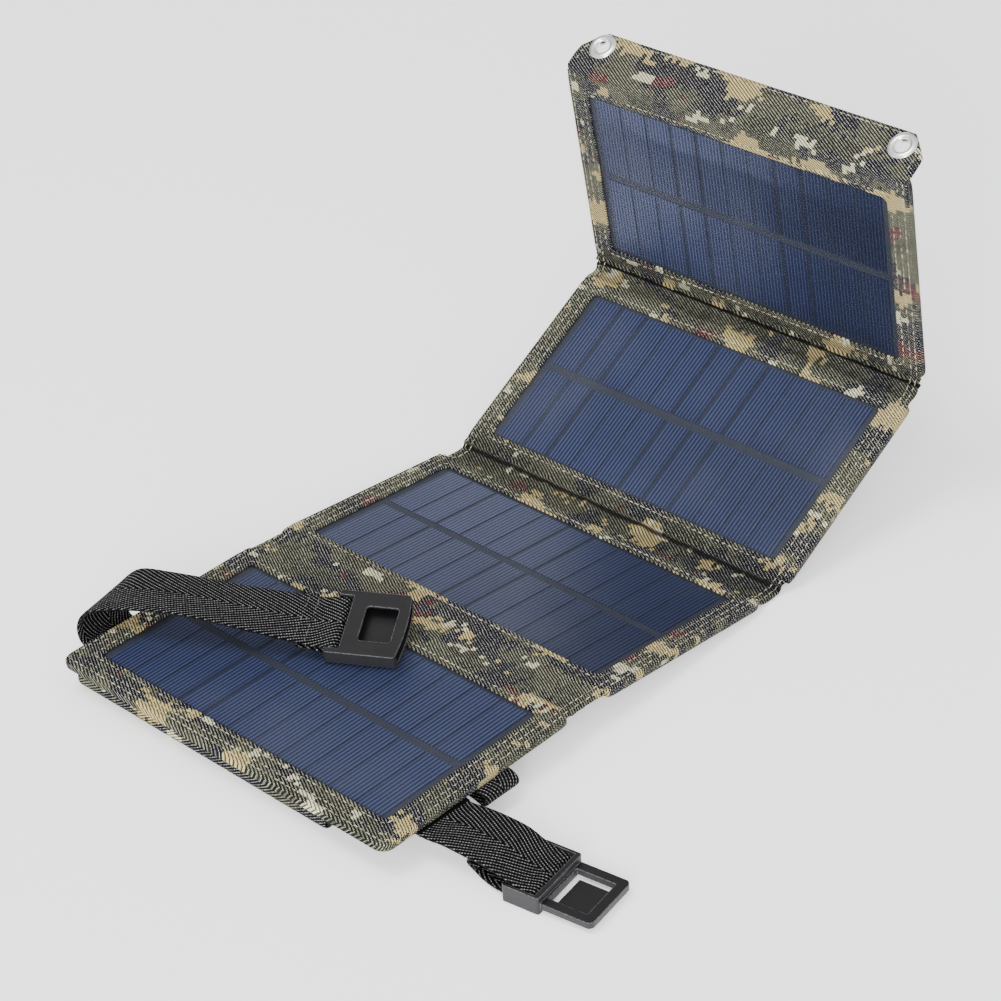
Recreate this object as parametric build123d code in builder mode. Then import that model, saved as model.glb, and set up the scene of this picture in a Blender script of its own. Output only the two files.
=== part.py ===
"""Folding solar charger: four fabric-bound panels in a chain, an eyelet flap, a back pocket with its
USB regulator, and a webbing strap with a snap buckle. Millimetres, +Z up, panels folded along X."""

from build123d import *
import math
import os

os.makedirs("parts", exist_ok=True)

# ---------------------------------------------------------------- driving dimensions
PANEL_WIDTH = 176.0
WINDOW_WIDTH = 155.0
WINDOW_DEPTH = 79.0
NEAR_MARGINS = (11.5, 16.7, 9.8, 9.4)  # front edge or crease to the window, panels 1 to 4
FAR_MARGINS = (16.9, 19.4, 15.2, 10.1)  # window to the next crease, or to the top edge
PANEL_ANGLES = (0.0, -5.6, 29.0, 98.7)  # slope of each panel at rest, degrees
FLAP_ANGLE = 32.0
FLAP_LENGTH = 20.0

COVER = 0.7  # fabric over the module's edge
MODULE_LAP = 3.0  # how far the module reaches under the window frame
FILM = 0.4
CELL = 0.3
BOARD = 0.9
STIFFENER = 0.5
BACK = 0.6
PANEL_THICKNESS = COVER + FILM + CELL + BOARD + STIFFENER + BACK
BORDER = 5.5  # stiff border between a window and the soft fold strip
CORNER = 5.0

STRIP_WIDTH = 172.0
STRIP_THICKNESS = 1.4
STRIP_GAPS = (0.5, 1.7, 0.5)  # each strip half stops this far short of its crease

WEBBING_WIDTH = 25.0
WEBBING = 1.4
RUNNING_GAP = 0.25  # webbing loop round a buckle bar

PANELS = range(4)


def direction(angle):
    return Vector(0, math.cos(math.radians(angle)), math.sin(math.radians(angle)))


def normal(angle):
    return Vector(0, -math.sin(math.radians(angle)), math.cos(math.radians(angle)))


# Panel 2 slopes down until the underside of crease 2/3 meets the ground, which sets panel 1's height.
panel_lengths = [near + WINDOW_DEPTH + far for near, far in zip(NEAR_MARGINS, FAR_MARGINS)]
half_bend_23 = math.radians(PANEL_ANGLES[2] - PANEL_ANGLES[1]) / 2
FACE_HEIGHT = (
    panel_lengths[1] * math.sin(math.radians(-PANEL_ANGLES[1]))
    + PANEL_THICKNESS * math.cos(math.radians(PANEL_ANGLES[1])) / math.cos(half_bend_23)
)
creases = [Vector(0, -NEAR_MARGINS[0] - WINDOW_DEPTH / 2, FACE_HEIGHT)]
for length, angle in zip(panel_lengths, PANEL_ANGLES):
    creases.append(creases[-1] + direction(angle) * length)
FRONT_EDGE = creases[0].Y
UNDERSIDE = FACE_HEIGHT - PANEL_THICKNESS


def face_plane(panel, depth=0.0):
    """Local X across the panel and local Y away from its near crease, at a depth below its face."""
    angle = PANEL_ANGLES[panel]
    return Plane(origin=creases[panel] - normal(angle) * depth, x_dir=(1, 0, 0), z_dir=normal(angle))


def save(piece, name):
    piece.part.label = name
    export_step(piece.part, f"parts/{name}.step")


# ---------------------------------------------------------------- the four panels
MODULE_SIZE = (WINDOW_WIDTH + 2 * MODULE_LAP, WINDOW_DEPTH + 2 * MODULE_LAP)
CAVITY = 0.2  # slack round the module inside its cover
CELL_ROWS = 2
CELL_COLUMNS = 11
CELL_FIELD = (WINDOW_WIDTH - 7.0, WINDOW_DEPTH - 2.4)
ROW_GAP = 3.8
COLUMN_GAP = 0.8
LEAD_CHANNEL = (6.0, 60.0)
LEAD_SIZE = (1.6, 50.0)

for panel in PANELS:
    number = panel + 1
    first, last = panel == 0, panel == 3
    start = 0.0 if first else NEAR_MARGINS[panel] - BORDER
    end = panel_lengths[panel] if last else NEAR_MARGINS[panel] + WINDOW_DEPTH + BORDER
    middle = NEAR_MARGINS[panel] + WINDOW_DEPTH / 2
    outline = (PANEL_WIDTH, end - start)
    outline_centre = (0, (start + end) / 2)

    with BuildPart() as front_cover:
        with BuildSketch(face_plane(panel)):
            with Locations(outline_centre):
                RectangleRounded(*outline, CORNER)
        extrude(amount=-(PANEL_THICKNESS - BACK))
        with BuildSketch(face_plane(panel)):
            with Locations((0, middle)):
                RectangleRounded(WINDOW_WIDTH, WINDOW_DEPTH, 2.0)
        extrude(amount=-COVER, mode=Mode.SUBTRACT)
        with BuildSketch(face_plane(panel, COVER)):
            with Locations((0, middle)):
                Rectangle(MODULE_SIZE[0] + CAVITY, MODULE_SIZE[1] + CAVITY)
        extrude(amount=-PANEL_THICKNESS, mode=Mode.SUBTRACT)
    save(front_cover, f"front_cover_{number}")

    with BuildPart() as window_film:
        with BuildSketch(face_plane(panel, COVER)):
            with Locations((0, middle)):
                Rectangle(*MODULE_SIZE)
        extrude(amount=-FILM)
    save(window_film, f"window_film_{number}")

    cell_size = (
        (CELL_FIELD[0] - (CELL_COLUMNS - 1) * COLUMN_GAP) / CELL_COLUMNS,
        (CELL_FIELD[1] - (CELL_ROWS - 1) * ROW_GAP) / CELL_ROWS,
    )
    with BuildPart() as solar_cells:
        with BuildSketch(face_plane(panel, COVER + FILM)):
            with Locations((0, middle)):
                with GridLocations(
                    cell_size[0] + COLUMN_GAP, cell_size[1] + ROW_GAP, CELL_COLUMNS, CELL_ROWS
                ):
                    Rectangle(*cell_size)
        extrude(amount=-CELL)
    save(solar_cells, f"solar_cells_{number}")

    with BuildPart() as circuit_board:
        with BuildSketch(face_plane(panel, COVER + FILM + CELL)):
            with Locations((0, middle)):
                Rectangle(*MODULE_SIZE)
        extrude(amount=-BOARD)
    save(circuit_board, f"circuit_board_{number}")

    with BuildPart() as stiffener:
        with BuildSketch(face_plane(panel, COVER + FILM + CELL + BOARD)):
            with Locations((0, middle)):
                Rectangle(*MODULE_SIZE)
                Rectangle(*LEAD_CHANNEL, mode=Mode.SUBTRACT)
        extrude(amount=-STIFFENER)
    save(stiffener, f"stiffener_{number}")

    with BuildPart() as module_leads:
        with BuildSketch(face_plane(panel, COVER + FILM + CELL + BOARD)):
            with Locations((0, middle)):
                with GridLocations(2 * LEAD_SIZE[0], 0, 2, 1):
                    Rectangle(*LEAD_SIZE)
        extrude(amount=-STIFFENER)
    save(module_leads, f"module_leads_{number}")

    with BuildPart() as back_cover:
        with BuildSketch(face_plane(panel, PANEL_THICKNESS - BACK)):
            with Locations(outline_centre):
                RectangleRounded(*outline, CORNER)
        extrude(amount=-BACK)
    save(back_cover, f"back_cover_{number}")

# ---------------------------------------------------------------- fold strips
# Folds 1/2 and 3/4 close face to face about the panels' faces; fold 2/3 closes back to back.
strip_tops = (0.0, PANEL_THICKNESS - STRIP_THICKNESS, 0.0)

for fold in range(3):
    name = f"{fold + 1}{fold + 2}"
    near_start = NEAR_MARGINS[fold] + WINDOW_DEPTH + BORDER
    near_end = panel_lengths[fold] - STRIP_GAPS[fold]
    with BuildPart() as near_strip:
        with BuildSketch(face_plane(fold, strip_tops[fold])):
            with Locations((0, (near_start + near_end) / 2)):
                Rectangle(STRIP_WIDTH, near_end - near_start)
        extrude(amount=-STRIP_THICKNESS)
    save(near_strip, f"fold_strip_{name}_near")

    far_start = STRIP_GAPS[fold]
    far_end = NEAR_MARGINS[fold + 1] - BORDER
    with BuildPart() as far_strip:
        with BuildSketch(face_plane(fold + 1, strip_tops[fold])):
            with Locations((0, (far_start + far_end) / 2)):
                Rectangle(STRIP_WIDTH, far_end - far_start)
        extrude(amount=-STRIP_THICKNESS)
    save(far_strip, f"fold_strip_{name}_far")

# ---------------------------------------------------------------- eyelet flap
FLAP_THICKNESS = 1.8
FLAP_HINGE_RISE = 1.2  # hinge line above panel 4's top edge, at mid thickness
FLAP_START = 1.6
FLAP_CORNER = 9.0
EYELET_X = 77.0
EYELET_Y = 12.5
EYELET_BORE = 3.0
EYELET_BARREL = 3.5
EYELET_FLANGE = 6.2
FLANGE_THICKNESS = 0.6

flap_hinge = (
    creases[4]
    + direction(PANEL_ANGLES[3]) * FLAP_HINGE_RISE
    - normal(PANEL_ANGLES[3]) * PANEL_THICKNESS / 2
)


def flap_plane(height):
    """Local X across and local Y away from the hinge, at a height above the flap's mid plane."""
    n = normal(FLAP_ANGLE)
    return Plane(origin=flap_hinge + n * height, x_dir=(1, 0, 0), z_dir=n)


eyelet_places = [(-EYELET_X, EYELET_Y), (EYELET_X, EYELET_Y)]

with BuildPart() as eyelet_flap:
    with BuildSketch(flap_plane(-FLAP_THICKNESS / 2)):
        with BuildLine():
            Polyline(
                (-PANEL_WIDTH / 2, FLAP_START),
                (PANEL_WIDTH / 2, FLAP_START),
                (PANEL_WIDTH / 2, FLAP_LENGTH - FLAP_CORNER),
                (PANEL_WIDTH / 2 - FLAP_CORNER, FLAP_LENGTH),
                (-PANEL_WIDTH / 2 + FLAP_CORNER, FLAP_LENGTH),
                (-PANEL_WIDTH / 2, FLAP_LENGTH - FLAP_CORNER),
                close=True,
            )
        make_face()
        fillet(vertices().group_by(Axis.Y)[1:], radius=4.0)
        with Locations(*eyelet_places):
            Circle(EYELET_BARREL, mode=Mode.SUBTRACT)
    extrude(amount=FLAP_THICKNESS)
save(eyelet_flap, "eyelet_flap")

# The eyelet's barrel lines the hole and its flange covers the front; the washer closes the back.
with BuildPart() as eyelets:
    with BuildSketch(flap_plane(FLAP_THICKNESS / 2)):
        with Locations(*eyelet_places):
            Circle(EYELET_FLANGE)
            Circle(EYELET_BORE, mode=Mode.SUBTRACT)
    extrude(amount=FLANGE_THICKNESS)
    fillet(edges().filter_by(GeomType.CIRCLE).group_by(SortBy.LENGTH)[-1], radius=0.25)
    with BuildSketch(flap_plane(-FLAP_THICKNESS / 2 - FLANGE_THICKNESS)):
        with Locations(*eyelet_places):
            Circle(EYELET_BARREL)
            Circle(EYELET_BORE, mode=Mode.SUBTRACT)
    extrude(amount=FLAP_THICKNESS + FLANGE_THICKNESS)
save(eyelets, "eyelets")

with BuildPart() as eyelet_washers:
    with BuildSketch(flap_plane(-FLAP_THICKNESS / 2)):
        with Locations(*eyelet_places):
            Circle(EYELET_FLANGE)
            Circle(EYELET_BARREL, mode=Mode.SUBTRACT)
    extrude(amount=-FLANGE_THICKNESS)
save(eyelet_washers, "eyelet_washers")

# ---------------------------------------------------------------- back pocket
POCKET_LEFT = -86.0
POCKET_RIGHT = 52.0
POCKET_FRONT = FRONT_EDGE + 5.5
POCKET_BACK = 38.0
POCKET_WALL = 1.0
POCKET_FLOOR = 1.0
FLAP_WALL = 1.0  # the pocket flap's fabric
LIP_DEPTH = 24.0  # how far the flap reaches back under the pocket
TAPE = 0.5
STRAP_Y = -22.0
STRAP_HEIGHT = UNDERSIDE - WEBBING / 2

pocket_middle = (POCKET_LEFT + POCKET_RIGHT) / 2
pocket_width = POCKET_RIGHT - POCKET_LEFT
lip_back = POCKET_FRONT + LIP_DEPTH
step_height = FLAP_WALL + 2 * TAPE


def block(x, y, z, mode=Mode.ADD):
    """A box from its (low, high) pair along each axis."""
    with Locations(((x[0] + x[1]) / 2, (y[0] + y[1]) / 2, (z[0] + z[1]) / 2)):
        Box(x[1] - x[0], y[1] - y[0], z[1] - z[0], mode=mode)


with BuildPart() as pocket_shell:
    shell_front = POCKET_FRONT + FLAP_WALL
    block((POCKET_LEFT, POCKET_RIGHT), (shell_front, POCKET_BACK), (0, UNDERSIDE))
    block(
        (POCKET_LEFT + POCKET_WALL, POCKET_RIGHT - POCKET_WALL),
        (lip_back + POCKET_WALL, POCKET_BACK - POCKET_WALL),
        (POCKET_FLOOR, UNDERSIDE),
        Mode.SUBTRACT,
    )
    block(
        (POCKET_LEFT + POCKET_WALL, POCKET_RIGHT - POCKET_WALL),
        (shell_front, lip_back + POCKET_WALL),
        (step_height + POCKET_FLOOR, UNDERSIDE),
        Mode.SUBTRACT,
    )
    block((POCKET_LEFT, POCKET_RIGHT), (shell_front, lip_back), (0, step_height), Mode.SUBTRACT)
    block(
        (POCKET_LEFT, POCKET_RIGHT),
        (STRAP_Y - WEBBING_WIDTH / 2, STRAP_Y + WEBBING_WIDTH / 2),
        (UNDERSIDE - WEBBING, UNDERSIDE),
        Mode.SUBTRACT,
    )
save(pocket_shell, "pocket_shell")

FLAP_CLEARANCE = 0.3
with BuildPart() as pocket_flap:
    flap_top = UNDERSIDE - FLAP_CLEARANCE
    block((POCKET_LEFT, POCKET_RIGHT), (POCKET_FRONT - FLAP_CLEARANCE, shell_front - FLAP_CLEARANCE),
          (0, flap_top))
    block((POCKET_LEFT, POCKET_RIGHT), (shell_front - FLAP_CLEARANCE, lip_back - FLAP_CLEARANCE),
          (0, FLAP_WALL))
save(pocket_flap, "pocket_flap")

tape_x = (POCKET_LEFT + 12, POCKET_RIGHT - 12)
tape_y = (lip_back - 18, lip_back - 4)
with BuildPart() as hook_tape:
    block(tape_x, tape_y, (FLAP_WALL, FLAP_WALL + TAPE))
save(hook_tape, "hook_tape")

with BuildPart() as loop_tape:
    block(tape_x, tape_y, (FLAP_WALL + TAPE, step_height))
save(loop_tape, "loop_tape")

# ---------------------------------------------------------------- USB regulator in the pocket
CASE_X = (-72.0, -8.0)
CASE_Y = (4.0, 32.0)
CASE_Z = (POCKET_FLOOR, POCKET_FLOOR + 9.6)
CASE_WALL = 1.2
CASE_SPLIT = 5.2
SOCKET_WIDTH = 13.2
SOCKET_HEIGHT = 5.8
SOCKET_DEPTH = 14.0
SOCKET_SHEET = 0.4
SCREW_RADIUS = 1.0
case_centre = ((CASE_X[0] + CASE_X[1]) / 2, (CASE_Y[0] + CASE_Y[1]) / 2)
case_size = (CASE_X[1] - CASE_X[0], CASE_Y[1] - CASE_Y[0])
screw_spacing = (case_size[0] - 7.0, case_size[1] - 7.0)
board_top = CASE_Z[0] + CASE_WALL + 1.0
socket_x = case_centre[0]
socket_z = (board_top, board_top + SOCKET_HEIGHT)
# The socket's face is flush with the case's front wall, towards the pocket's mouth.
socket_y = (CASE_Y[0], CASE_Y[0] + SOCKET_DEPTH)
lamp_place = (CASE_X[0] + 12.0, case_centre[1])

with BuildPart() as regulator_base:
    with BuildSketch(Plane.XY.offset(CASE_Z[0])):
        with Locations(case_centre):
            RectangleRounded(*case_size, 2.5)
    extrude(amount=CASE_SPLIT - CASE_Z[0])
    with BuildSketch(Plane.XY.offset(CASE_Z[0] + CASE_WALL)):
        with Locations(case_centre):
            RectangleRounded(case_size[0] - 2 * CASE_WALL, case_size[1] - 2 * CASE_WALL, 1.2)
    extrude(amount=CASE_SPLIT, mode=Mode.SUBTRACT)
    with BuildSketch(Plane.XY.offset(CASE_Z[0])):
        with Locations(case_centre):
            with GridLocations(*screw_spacing, 2, 2):
                Circle(2.2)
    extrude(amount=CASE_SPLIT - CASE_Z[0])
    with BuildSketch(Plane.XY.offset(CASE_Z[0])):
        with Locations(case_centre):
            with GridLocations(*screw_spacing, 2, 2):
                Circle(SCREW_RADIUS)
    extrude(amount=CASE_SPLIT, mode=Mode.SUBTRACT)
    block((socket_x - SOCKET_WIDTH / 2, socket_x + SOCKET_WIDTH / 2), (CASE_Y[0], CASE_Y[0] + CASE_WALL),
          (socket_z[0], CASE_SPLIT), Mode.SUBTRACT)
save(regulator_base, "regulator_base")

with BuildPart() as regulator_lid:
    with BuildSketch(Plane.XY.offset(CASE_SPLIT)):
        with Locations(case_centre):
            RectangleRounded(*case_size, 2.5)
    extrude(amount=CASE_Z[1] - CASE_SPLIT)
    fillet(faces().sort_by(Axis.Z)[-1].edges(), radius=0.8)
    with BuildSketch(Plane.XY.offset(CASE_SPLIT)):
        with Locations(case_centre):
            RectangleRounded(case_size[0] - 2 * CASE_WALL, case_size[1] - 2 * CASE_WALL, 1.2)
    extrude(amount=CASE_Z[1] - CASE_SPLIT - CASE_WALL, mode=Mode.SUBTRACT)
    with BuildSketch(Plane.XY.offset(CASE_SPLIT)):
        with Locations(case_centre):
            with GridLocations(*screw_spacing, 2, 2):
                Circle(2.2)
    extrude(amount=CASE_Z[1] - CASE_SPLIT - CASE_WALL)
    with BuildSketch(Plane.XY.offset(CASE_SPLIT)):
        with Locations(case_centre):
            with GridLocations(*screw_spacing, 2, 2):
                Circle(SCREW_RADIUS)
        with Locations(lamp_place):
            Circle(1.5)
    extrude(amount=CASE_Z[1] - CASE_SPLIT - CASE_WALL, mode=Mode.SUBTRACT)
    with BuildSketch(Plane.XY.offset(CASE_SPLIT)):
        with Locations(lamp_place):
            Circle(1.5)
    extrude(amount=CASE_Z[1], mode=Mode.SUBTRACT)
    block((socket_x - SOCKET_WIDTH / 2, socket_x + SOCKET_WIDTH / 2), (CASE_Y[0], CASE_Y[0] + CASE_WALL),
          (CASE_SPLIT, socket_z[1]), Mode.SUBTRACT)
save(regulator_lid, "regulator_lid")

with BuildPart() as regulator_board:
    with BuildSketch(Plane.XY.offset(CASE_Z[0] + CASE_WALL)):
        with Locations(case_centre):
            Rectangle(case_size[0] - 13.0, case_size[1] - 2 * CASE_WALL - 0.4)
    extrude(amount=1.0)
save(regulator_board, "regulator_board")

with BuildPart() as usb_socket:
    block((socket_x - SOCKET_WIDTH / 2, socket_x + SOCKET_WIDTH / 2), socket_y, socket_z)
    block(
        (socket_x - SOCKET_WIDTH / 2 + SOCKET_SHEET, socket_x + SOCKET_WIDTH / 2 - SOCKET_SHEET),
        (socket_y[0], socket_y[1] - SOCKET_SHEET),
        (socket_z[0] + SOCKET_SHEET, socket_z[1] - SOCKET_SHEET),
        Mode.SUBTRACT,
    )
save(usb_socket, "usb_socket")

with BuildPart() as usb_contact_tongue:
    block((socket_x - 5.5, socket_x + 5.5), (socket_y[0] + 2.0, socket_y[1] - SOCKET_SHEET),
          (socket_z[1] - SOCKET_SHEET - 1.8, socket_z[1] - SOCKET_SHEET))
save(usb_contact_tongue, "usb_contact_tongue")

with BuildPart() as status_lamp:
    with BuildSketch(Plane.XY.offset(board_top)):
        with Locations(lamp_place):
            Circle(1.4)
    extrude(amount=CASE_Z[1] - board_top)
save(status_lamp, "status_lamp")

with BuildPart() as regulator_screws:
    with BuildSketch(Plane.XY.offset(CASE_Z[0] + 0.4)):
        with Locations(case_centre):
            with GridLocations(*screw_spacing, 2, 2):
                Circle(SCREW_RADIUS)
    extrude(amount=CASE_Z[1] - CASE_Z[0] - CASE_WALL - 0.4)
save(regulator_screws, "regulator_screws")

# ---------------------------------------------------------------- strap
LEFT_HINGE = Vector(-95.0, STRAP_Y, UNDERSIDE - 4.6)
RIGHT_HINGE = Vector(90.5, STRAP_Y, STRAP_HEIGHT - 0.3)
STRAP_END_GAP = 1.0


def strap_plane(centre, ahead, yaw, tilt):
    """A cross-section of the webbing: local X across its width, which is yawed about Z from +Y and
    then tilted up at its far side, and the normal along the webbing."""
    width = Vector(0, 1, 0).rotate(Axis.X, tilt).rotate(Axis.Z, yaw)
    along = (ahead - width * ahead.dot(width)).normalized()
    return Plane(origin=centre, x_dir=width, z_dir=along)


def strap_sections(stations):
    """Section planes along stations of (x, y, z, yaw, tilt), each normal to the line through it."""
    centres = [Vector(*station[:3]) for station in stations]
    planes = []
    for index, station in enumerate(stations):
        before = centres[max(index - 1, 0)]
        after = centres[min(index + 1, len(stations) - 1)]
        planes.append(strap_plane(centres[index], after - before, station[3], station[4]))
    return planes


with BuildPart() as sewn_strap:
    with BuildSketch(Plane.XZ.offset(-STRAP_Y + WEBBING_WIDTH / 2)):
        with BuildLine():
            Polyline(
                (LEFT_HINGE.X + STRAP_END_GAP, LEFT_HINGE.Z + STRAP_END_GAP / 2),
                (-88.0, STRAP_HEIGHT),
                (88.0, STRAP_HEIGHT),
                (RIGHT_HINGE.X - STRAP_END_GAP, STRAP_HEIGHT - 0.3),
            )
        trace(line_width=WEBBING)
    extrude(amount=-WEBBING_WIDTH)
save(sewn_strap, "sewn_strap")

BAR = 1.0
LOOP_INNER = BAR + RUNNING_GAP
LOOP_OUTER = LOOP_INNER + WEBBING
DOUBLED = 2 * WEBBING


def bar_plane(buckle_plane, bar):
    """The middle of a buckle bar at local (x, z), with the normal along the bar."""
    return Plane(
        origin=buckle_plane.from_local_coords((bar[0], 0, bar[1])),
        x_dir=buckle_plane.x_dir,
        z_dir=buckle_plane.y_dir,
    )


def loop_round(buckle_plane, bar):
    """The webbing's turn round a buckle bar, with clearance for the bar."""
    with Locations(bar_plane(buckle_plane, bar)):
        Cylinder(LOOP_OUTER, WEBBING_WIDTH)
        Cylinder(LOOP_INNER, WEBBING_WIDTH + 2, mode=Mode.SUBTRACT)


def buckle_frame(origin, yaw, tilt):
    """Local X ahead along the strap, local Y across the buckle and local Z out of its face."""
    ahead = Vector(1, 0, 0).rotate(Axis.Z, yaw)
    across = Vector(0, 1, 0).rotate(Axis.X, tilt).rotate(Axis.Z, yaw)
    return Plane(origin=origin, x_dir=ahead, z_dir=ahead.cross(across))


# The left strap rises from under panel 1, arches over it and ends doubled round the socket buckle's bar.
SOCKET_YAW = 30.0
SOCKET_TILT = 15.0
socket_plane = buckle_frame((-11.5, 25.1, FACE_HEIGHT + 7.4), SOCKET_YAW, SOCKET_TILT)
left_stations = [
    (LEFT_HINGE.X - STRAP_END_GAP / 2, STRAP_Y, LEFT_HINGE.Z + STRAP_END_GAP, 0, 0),
    (-97.4, STRAP_Y, FACE_HEIGHT - 4.0, 0, 0),
    (-97.8, -21.8, FACE_HEIGHT + 2.4, 2, 2),
    (-95.4, -20.4, FACE_HEIGHT + 8.6, 6, 6),
    (-89.0, -17.3, FACE_HEIGHT + 12.9, 12, 10),
    (-76.0, -11.4, FACE_HEIGHT + 14.9, 20, 4),
    (-60.0, -2.8, FACE_HEIGHT + 14.2, 26, 1),
    (-38.0, 9.0, FACE_HEIGHT + 11.5, 28, 5),
    (-24.0, 17.5, FACE_HEIGHT + 9.4, 29, 11),
    (*socket_plane.origin, SOCKET_YAW, SOCKET_TILT),
]
single_stations = 8  # the rest are doubled, where the end is sewn back

with BuildPart() as left_strap:
    for index, plane in enumerate(strap_sections(left_stations)):
        with BuildSketch(plane):
            Rectangle(WEBBING_WIDTH, WEBBING if index < single_stations else DOUBLED)
    loft(ruled=True)
    loop_round(socket_plane, (0, 0))
save(left_strap, "left_strap")

# The right strap bridges from panel 1's edge to the plug buckle and turns back under itself to a hem.
PLUG_YAW = 8.8
PLUG_BAR = (10.2, 4.2)
plug_plane = buckle_frame((123.8, -18.74, 0), PLUG_YAW, 0)
plug_bar = plug_plane.from_local_coords((PLUG_BAR[0], 0, PLUG_BAR[1]))
turn_radius = (LOOP_INNER + LOOP_OUTER) / 2
right_stations = [
    (RIGHT_HINGE.X + STRAP_END_GAP, STRAP_Y, RIGHT_HINGE.Z, 0, 0),
    (98.0, -20.2, UNDERSIDE - 1.0, 4, 0),
    (107.0, -18.6, UNDERSIDE - 1.3, 4, 2),
    (117.0, -18.5, 9.2, 6, 2),
    (124.8, -18.4, 7.8, PLUG_YAW, 0),
    (129.5, -17.85, 6.5, PLUG_YAW, 0),
    (plug_bar.X, plug_bar.Y, plug_bar.Z + turn_radius, PLUG_YAW, 0),
]
TAIL_INSET = 0.3  # the tail starts a little inside the turn round the bar, which it joins
tail_stations = [
    (plug_bar.X - TAIL_INSET, plug_bar.Y, plug_bar.Z - turn_radius + TAIL_INSET, PLUG_YAW, 0),
    (129.0, -17.93, 2.35, PLUG_YAW, 0),
    (123.2, -18.6, 2.1, 5, 0),
    (117.0, -17.4, 1.1, -10, 0),
    (110.5, -15.6, 1.0, -14, 0),
]
HEM_LENGTH = 7.0
HEM_THICKNESS = 2.8

with BuildPart() as right_strap:
    for stations in (right_stations, tail_stations):
        for plane in strap_sections(stations):
            with BuildSketch(plane):
                Rectangle(WEBBING_WIDTH, WEBBING)
        loft(ruled=True)
    with BuildSketch(Plane(origin=(110.5, -15.6, 0.3), x_dir=Vector(1, 0, 0).rotate(Axis.Z, -14))):
        Rectangle(HEM_LENGTH, WEBBING_WIDTH)
    extrude(amount=HEM_THICKNESS)
    loop_round(plug_plane, PLUG_BAR)
save(right_strap, "right_strap")

# The keeper is a loop of narrower webbing behind the strap, where its spare end is tucked.
KEEPER_Y = (-4.0, 13.0)
KEEPER_THICKNESS = 1.2
with BuildPart() as strap_keeper:
    with BuildSketch(Plane.XZ.offset(-KEEPER_Y[0])):
        with BuildLine():
            FilletPolyline(
                (56.0, UNDERSIDE - KEEPER_THICKNESS / 2),
                (92.5, UNDERSIDE - KEEPER_THICKNESS / 2),
                (92.5, 4.8),
                (64.0, UNDERSIDE - 2.2),
                radius=2.6,
            )
        trace(line_width=KEEPER_THICKNESS)
    extrude(amount=-(KEEPER_Y[1] - KEEPER_Y[0]))
save(strap_keeper, "strap_keeper")

# ---------------------------------------------------------------- buckles
SOCKET_LENGTH = 29.5
SOCKET_SIDE = 15.5
SOCKET_THICKNESS = 6.0
ARM_BACK = -2.5  # the arms reach back past the bar
ARM_INSIDE = 13.1
SLOT_FRONT = 3.4
MOUTH_HALF_WIDTH = 13.7
MOUTH_HEIGHT = 4.2
MOUTH_BACK = 8.0
SOCKET_WINDOW = (13.0, 17.0)
SOCKET_WINDOW_X = 16.0
SOCKET_BOW = 1.4
socket_front = ARM_BACK + SOCKET_LENGTH - SOCKET_BOW


with BuildPart() as socket_buckle:
    with BuildSketch(socket_plane.offset(-SOCKET_THICKNESS / 2)):
        with BuildLine():
            Polyline(
                (socket_front, -SOCKET_SIDE),
                (ARM_BACK, -SOCKET_SIDE),
                (ARM_BACK, SOCKET_SIDE),
                (socket_front, SOCKET_SIDE),
            )
            ThreePointArc(
                (socket_front, SOCKET_SIDE),
                (socket_front + SOCKET_BOW, 0),
                (socket_front, -SOCKET_SIDE),
            )
        make_face()
    extrude(amount=SOCKET_THICKNESS)
    fillet(edges().filter_by(lambda e: abs(e.length - SOCKET_THICKNESS) < 0.01), radius=1.2)
    with BuildSketch(socket_plane.offset(-SOCKET_THICKNESS / 2)):
        with Locations(((ARM_BACK + SLOT_FRONT) / 2 - 1, 0)):
            Rectangle(SLOT_FRONT - ARM_BACK + 2, 2 * ARM_INSIDE)
    extrude(amount=SOCKET_THICKNESS, mode=Mode.SUBTRACT)
    with BuildSketch(socket_plane.offset(-MOUTH_HEIGHT / 2)):
        with Locations(((MOUTH_BACK + SOCKET_LENGTH) / 2, 0)):
            Rectangle(SOCKET_LENGTH - MOUTH_BACK, 2 * MOUTH_HALF_WIDTH)
    extrude(amount=MOUTH_HEIGHT, mode=Mode.SUBTRACT)
    with BuildSketch(socket_plane):
        with Locations((SOCKET_WINDOW_X, 0)):
            RectangleRounded(*SOCKET_WINDOW, 1.5)
    extrude(amount=SOCKET_THICKNESS, mode=Mode.SUBTRACT)
    with Locations(bar_plane(socket_plane, (0, 0))):
        Cylinder(BAR, 2 * ARM_INSIDE + 1.0)
save(socket_buckle, "socket_buckle")

PLUG_SIDE = 14.0
PLUG_BODY = 15.4
PLUG_HEIGHT = 7.2
PLUG_FLOOR = 1.2
RECESS_FRONT = 13.3
RECESS_INSIDE = 12.9
FRAME_END = 36.3
FRAME_SIDE = 12.9
FRAME_BOTTOM = 1.9
FRAME_THICKNESS = 2.6
OPENING_X = (16.3, 32.3)
OPENING_SIDE = 9.1
TONGUE_GAP = 0.4
TONGUE_X = (19.8, OPENING_X[1] - TONGUE_GAP)
TONGUE_Y = (-OPENING_SIDE + TONGUE_GAP, 5.4)
TONGUE_BOTTOM = 2.5
TONGUE_THICKNESS = 1.2

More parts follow.
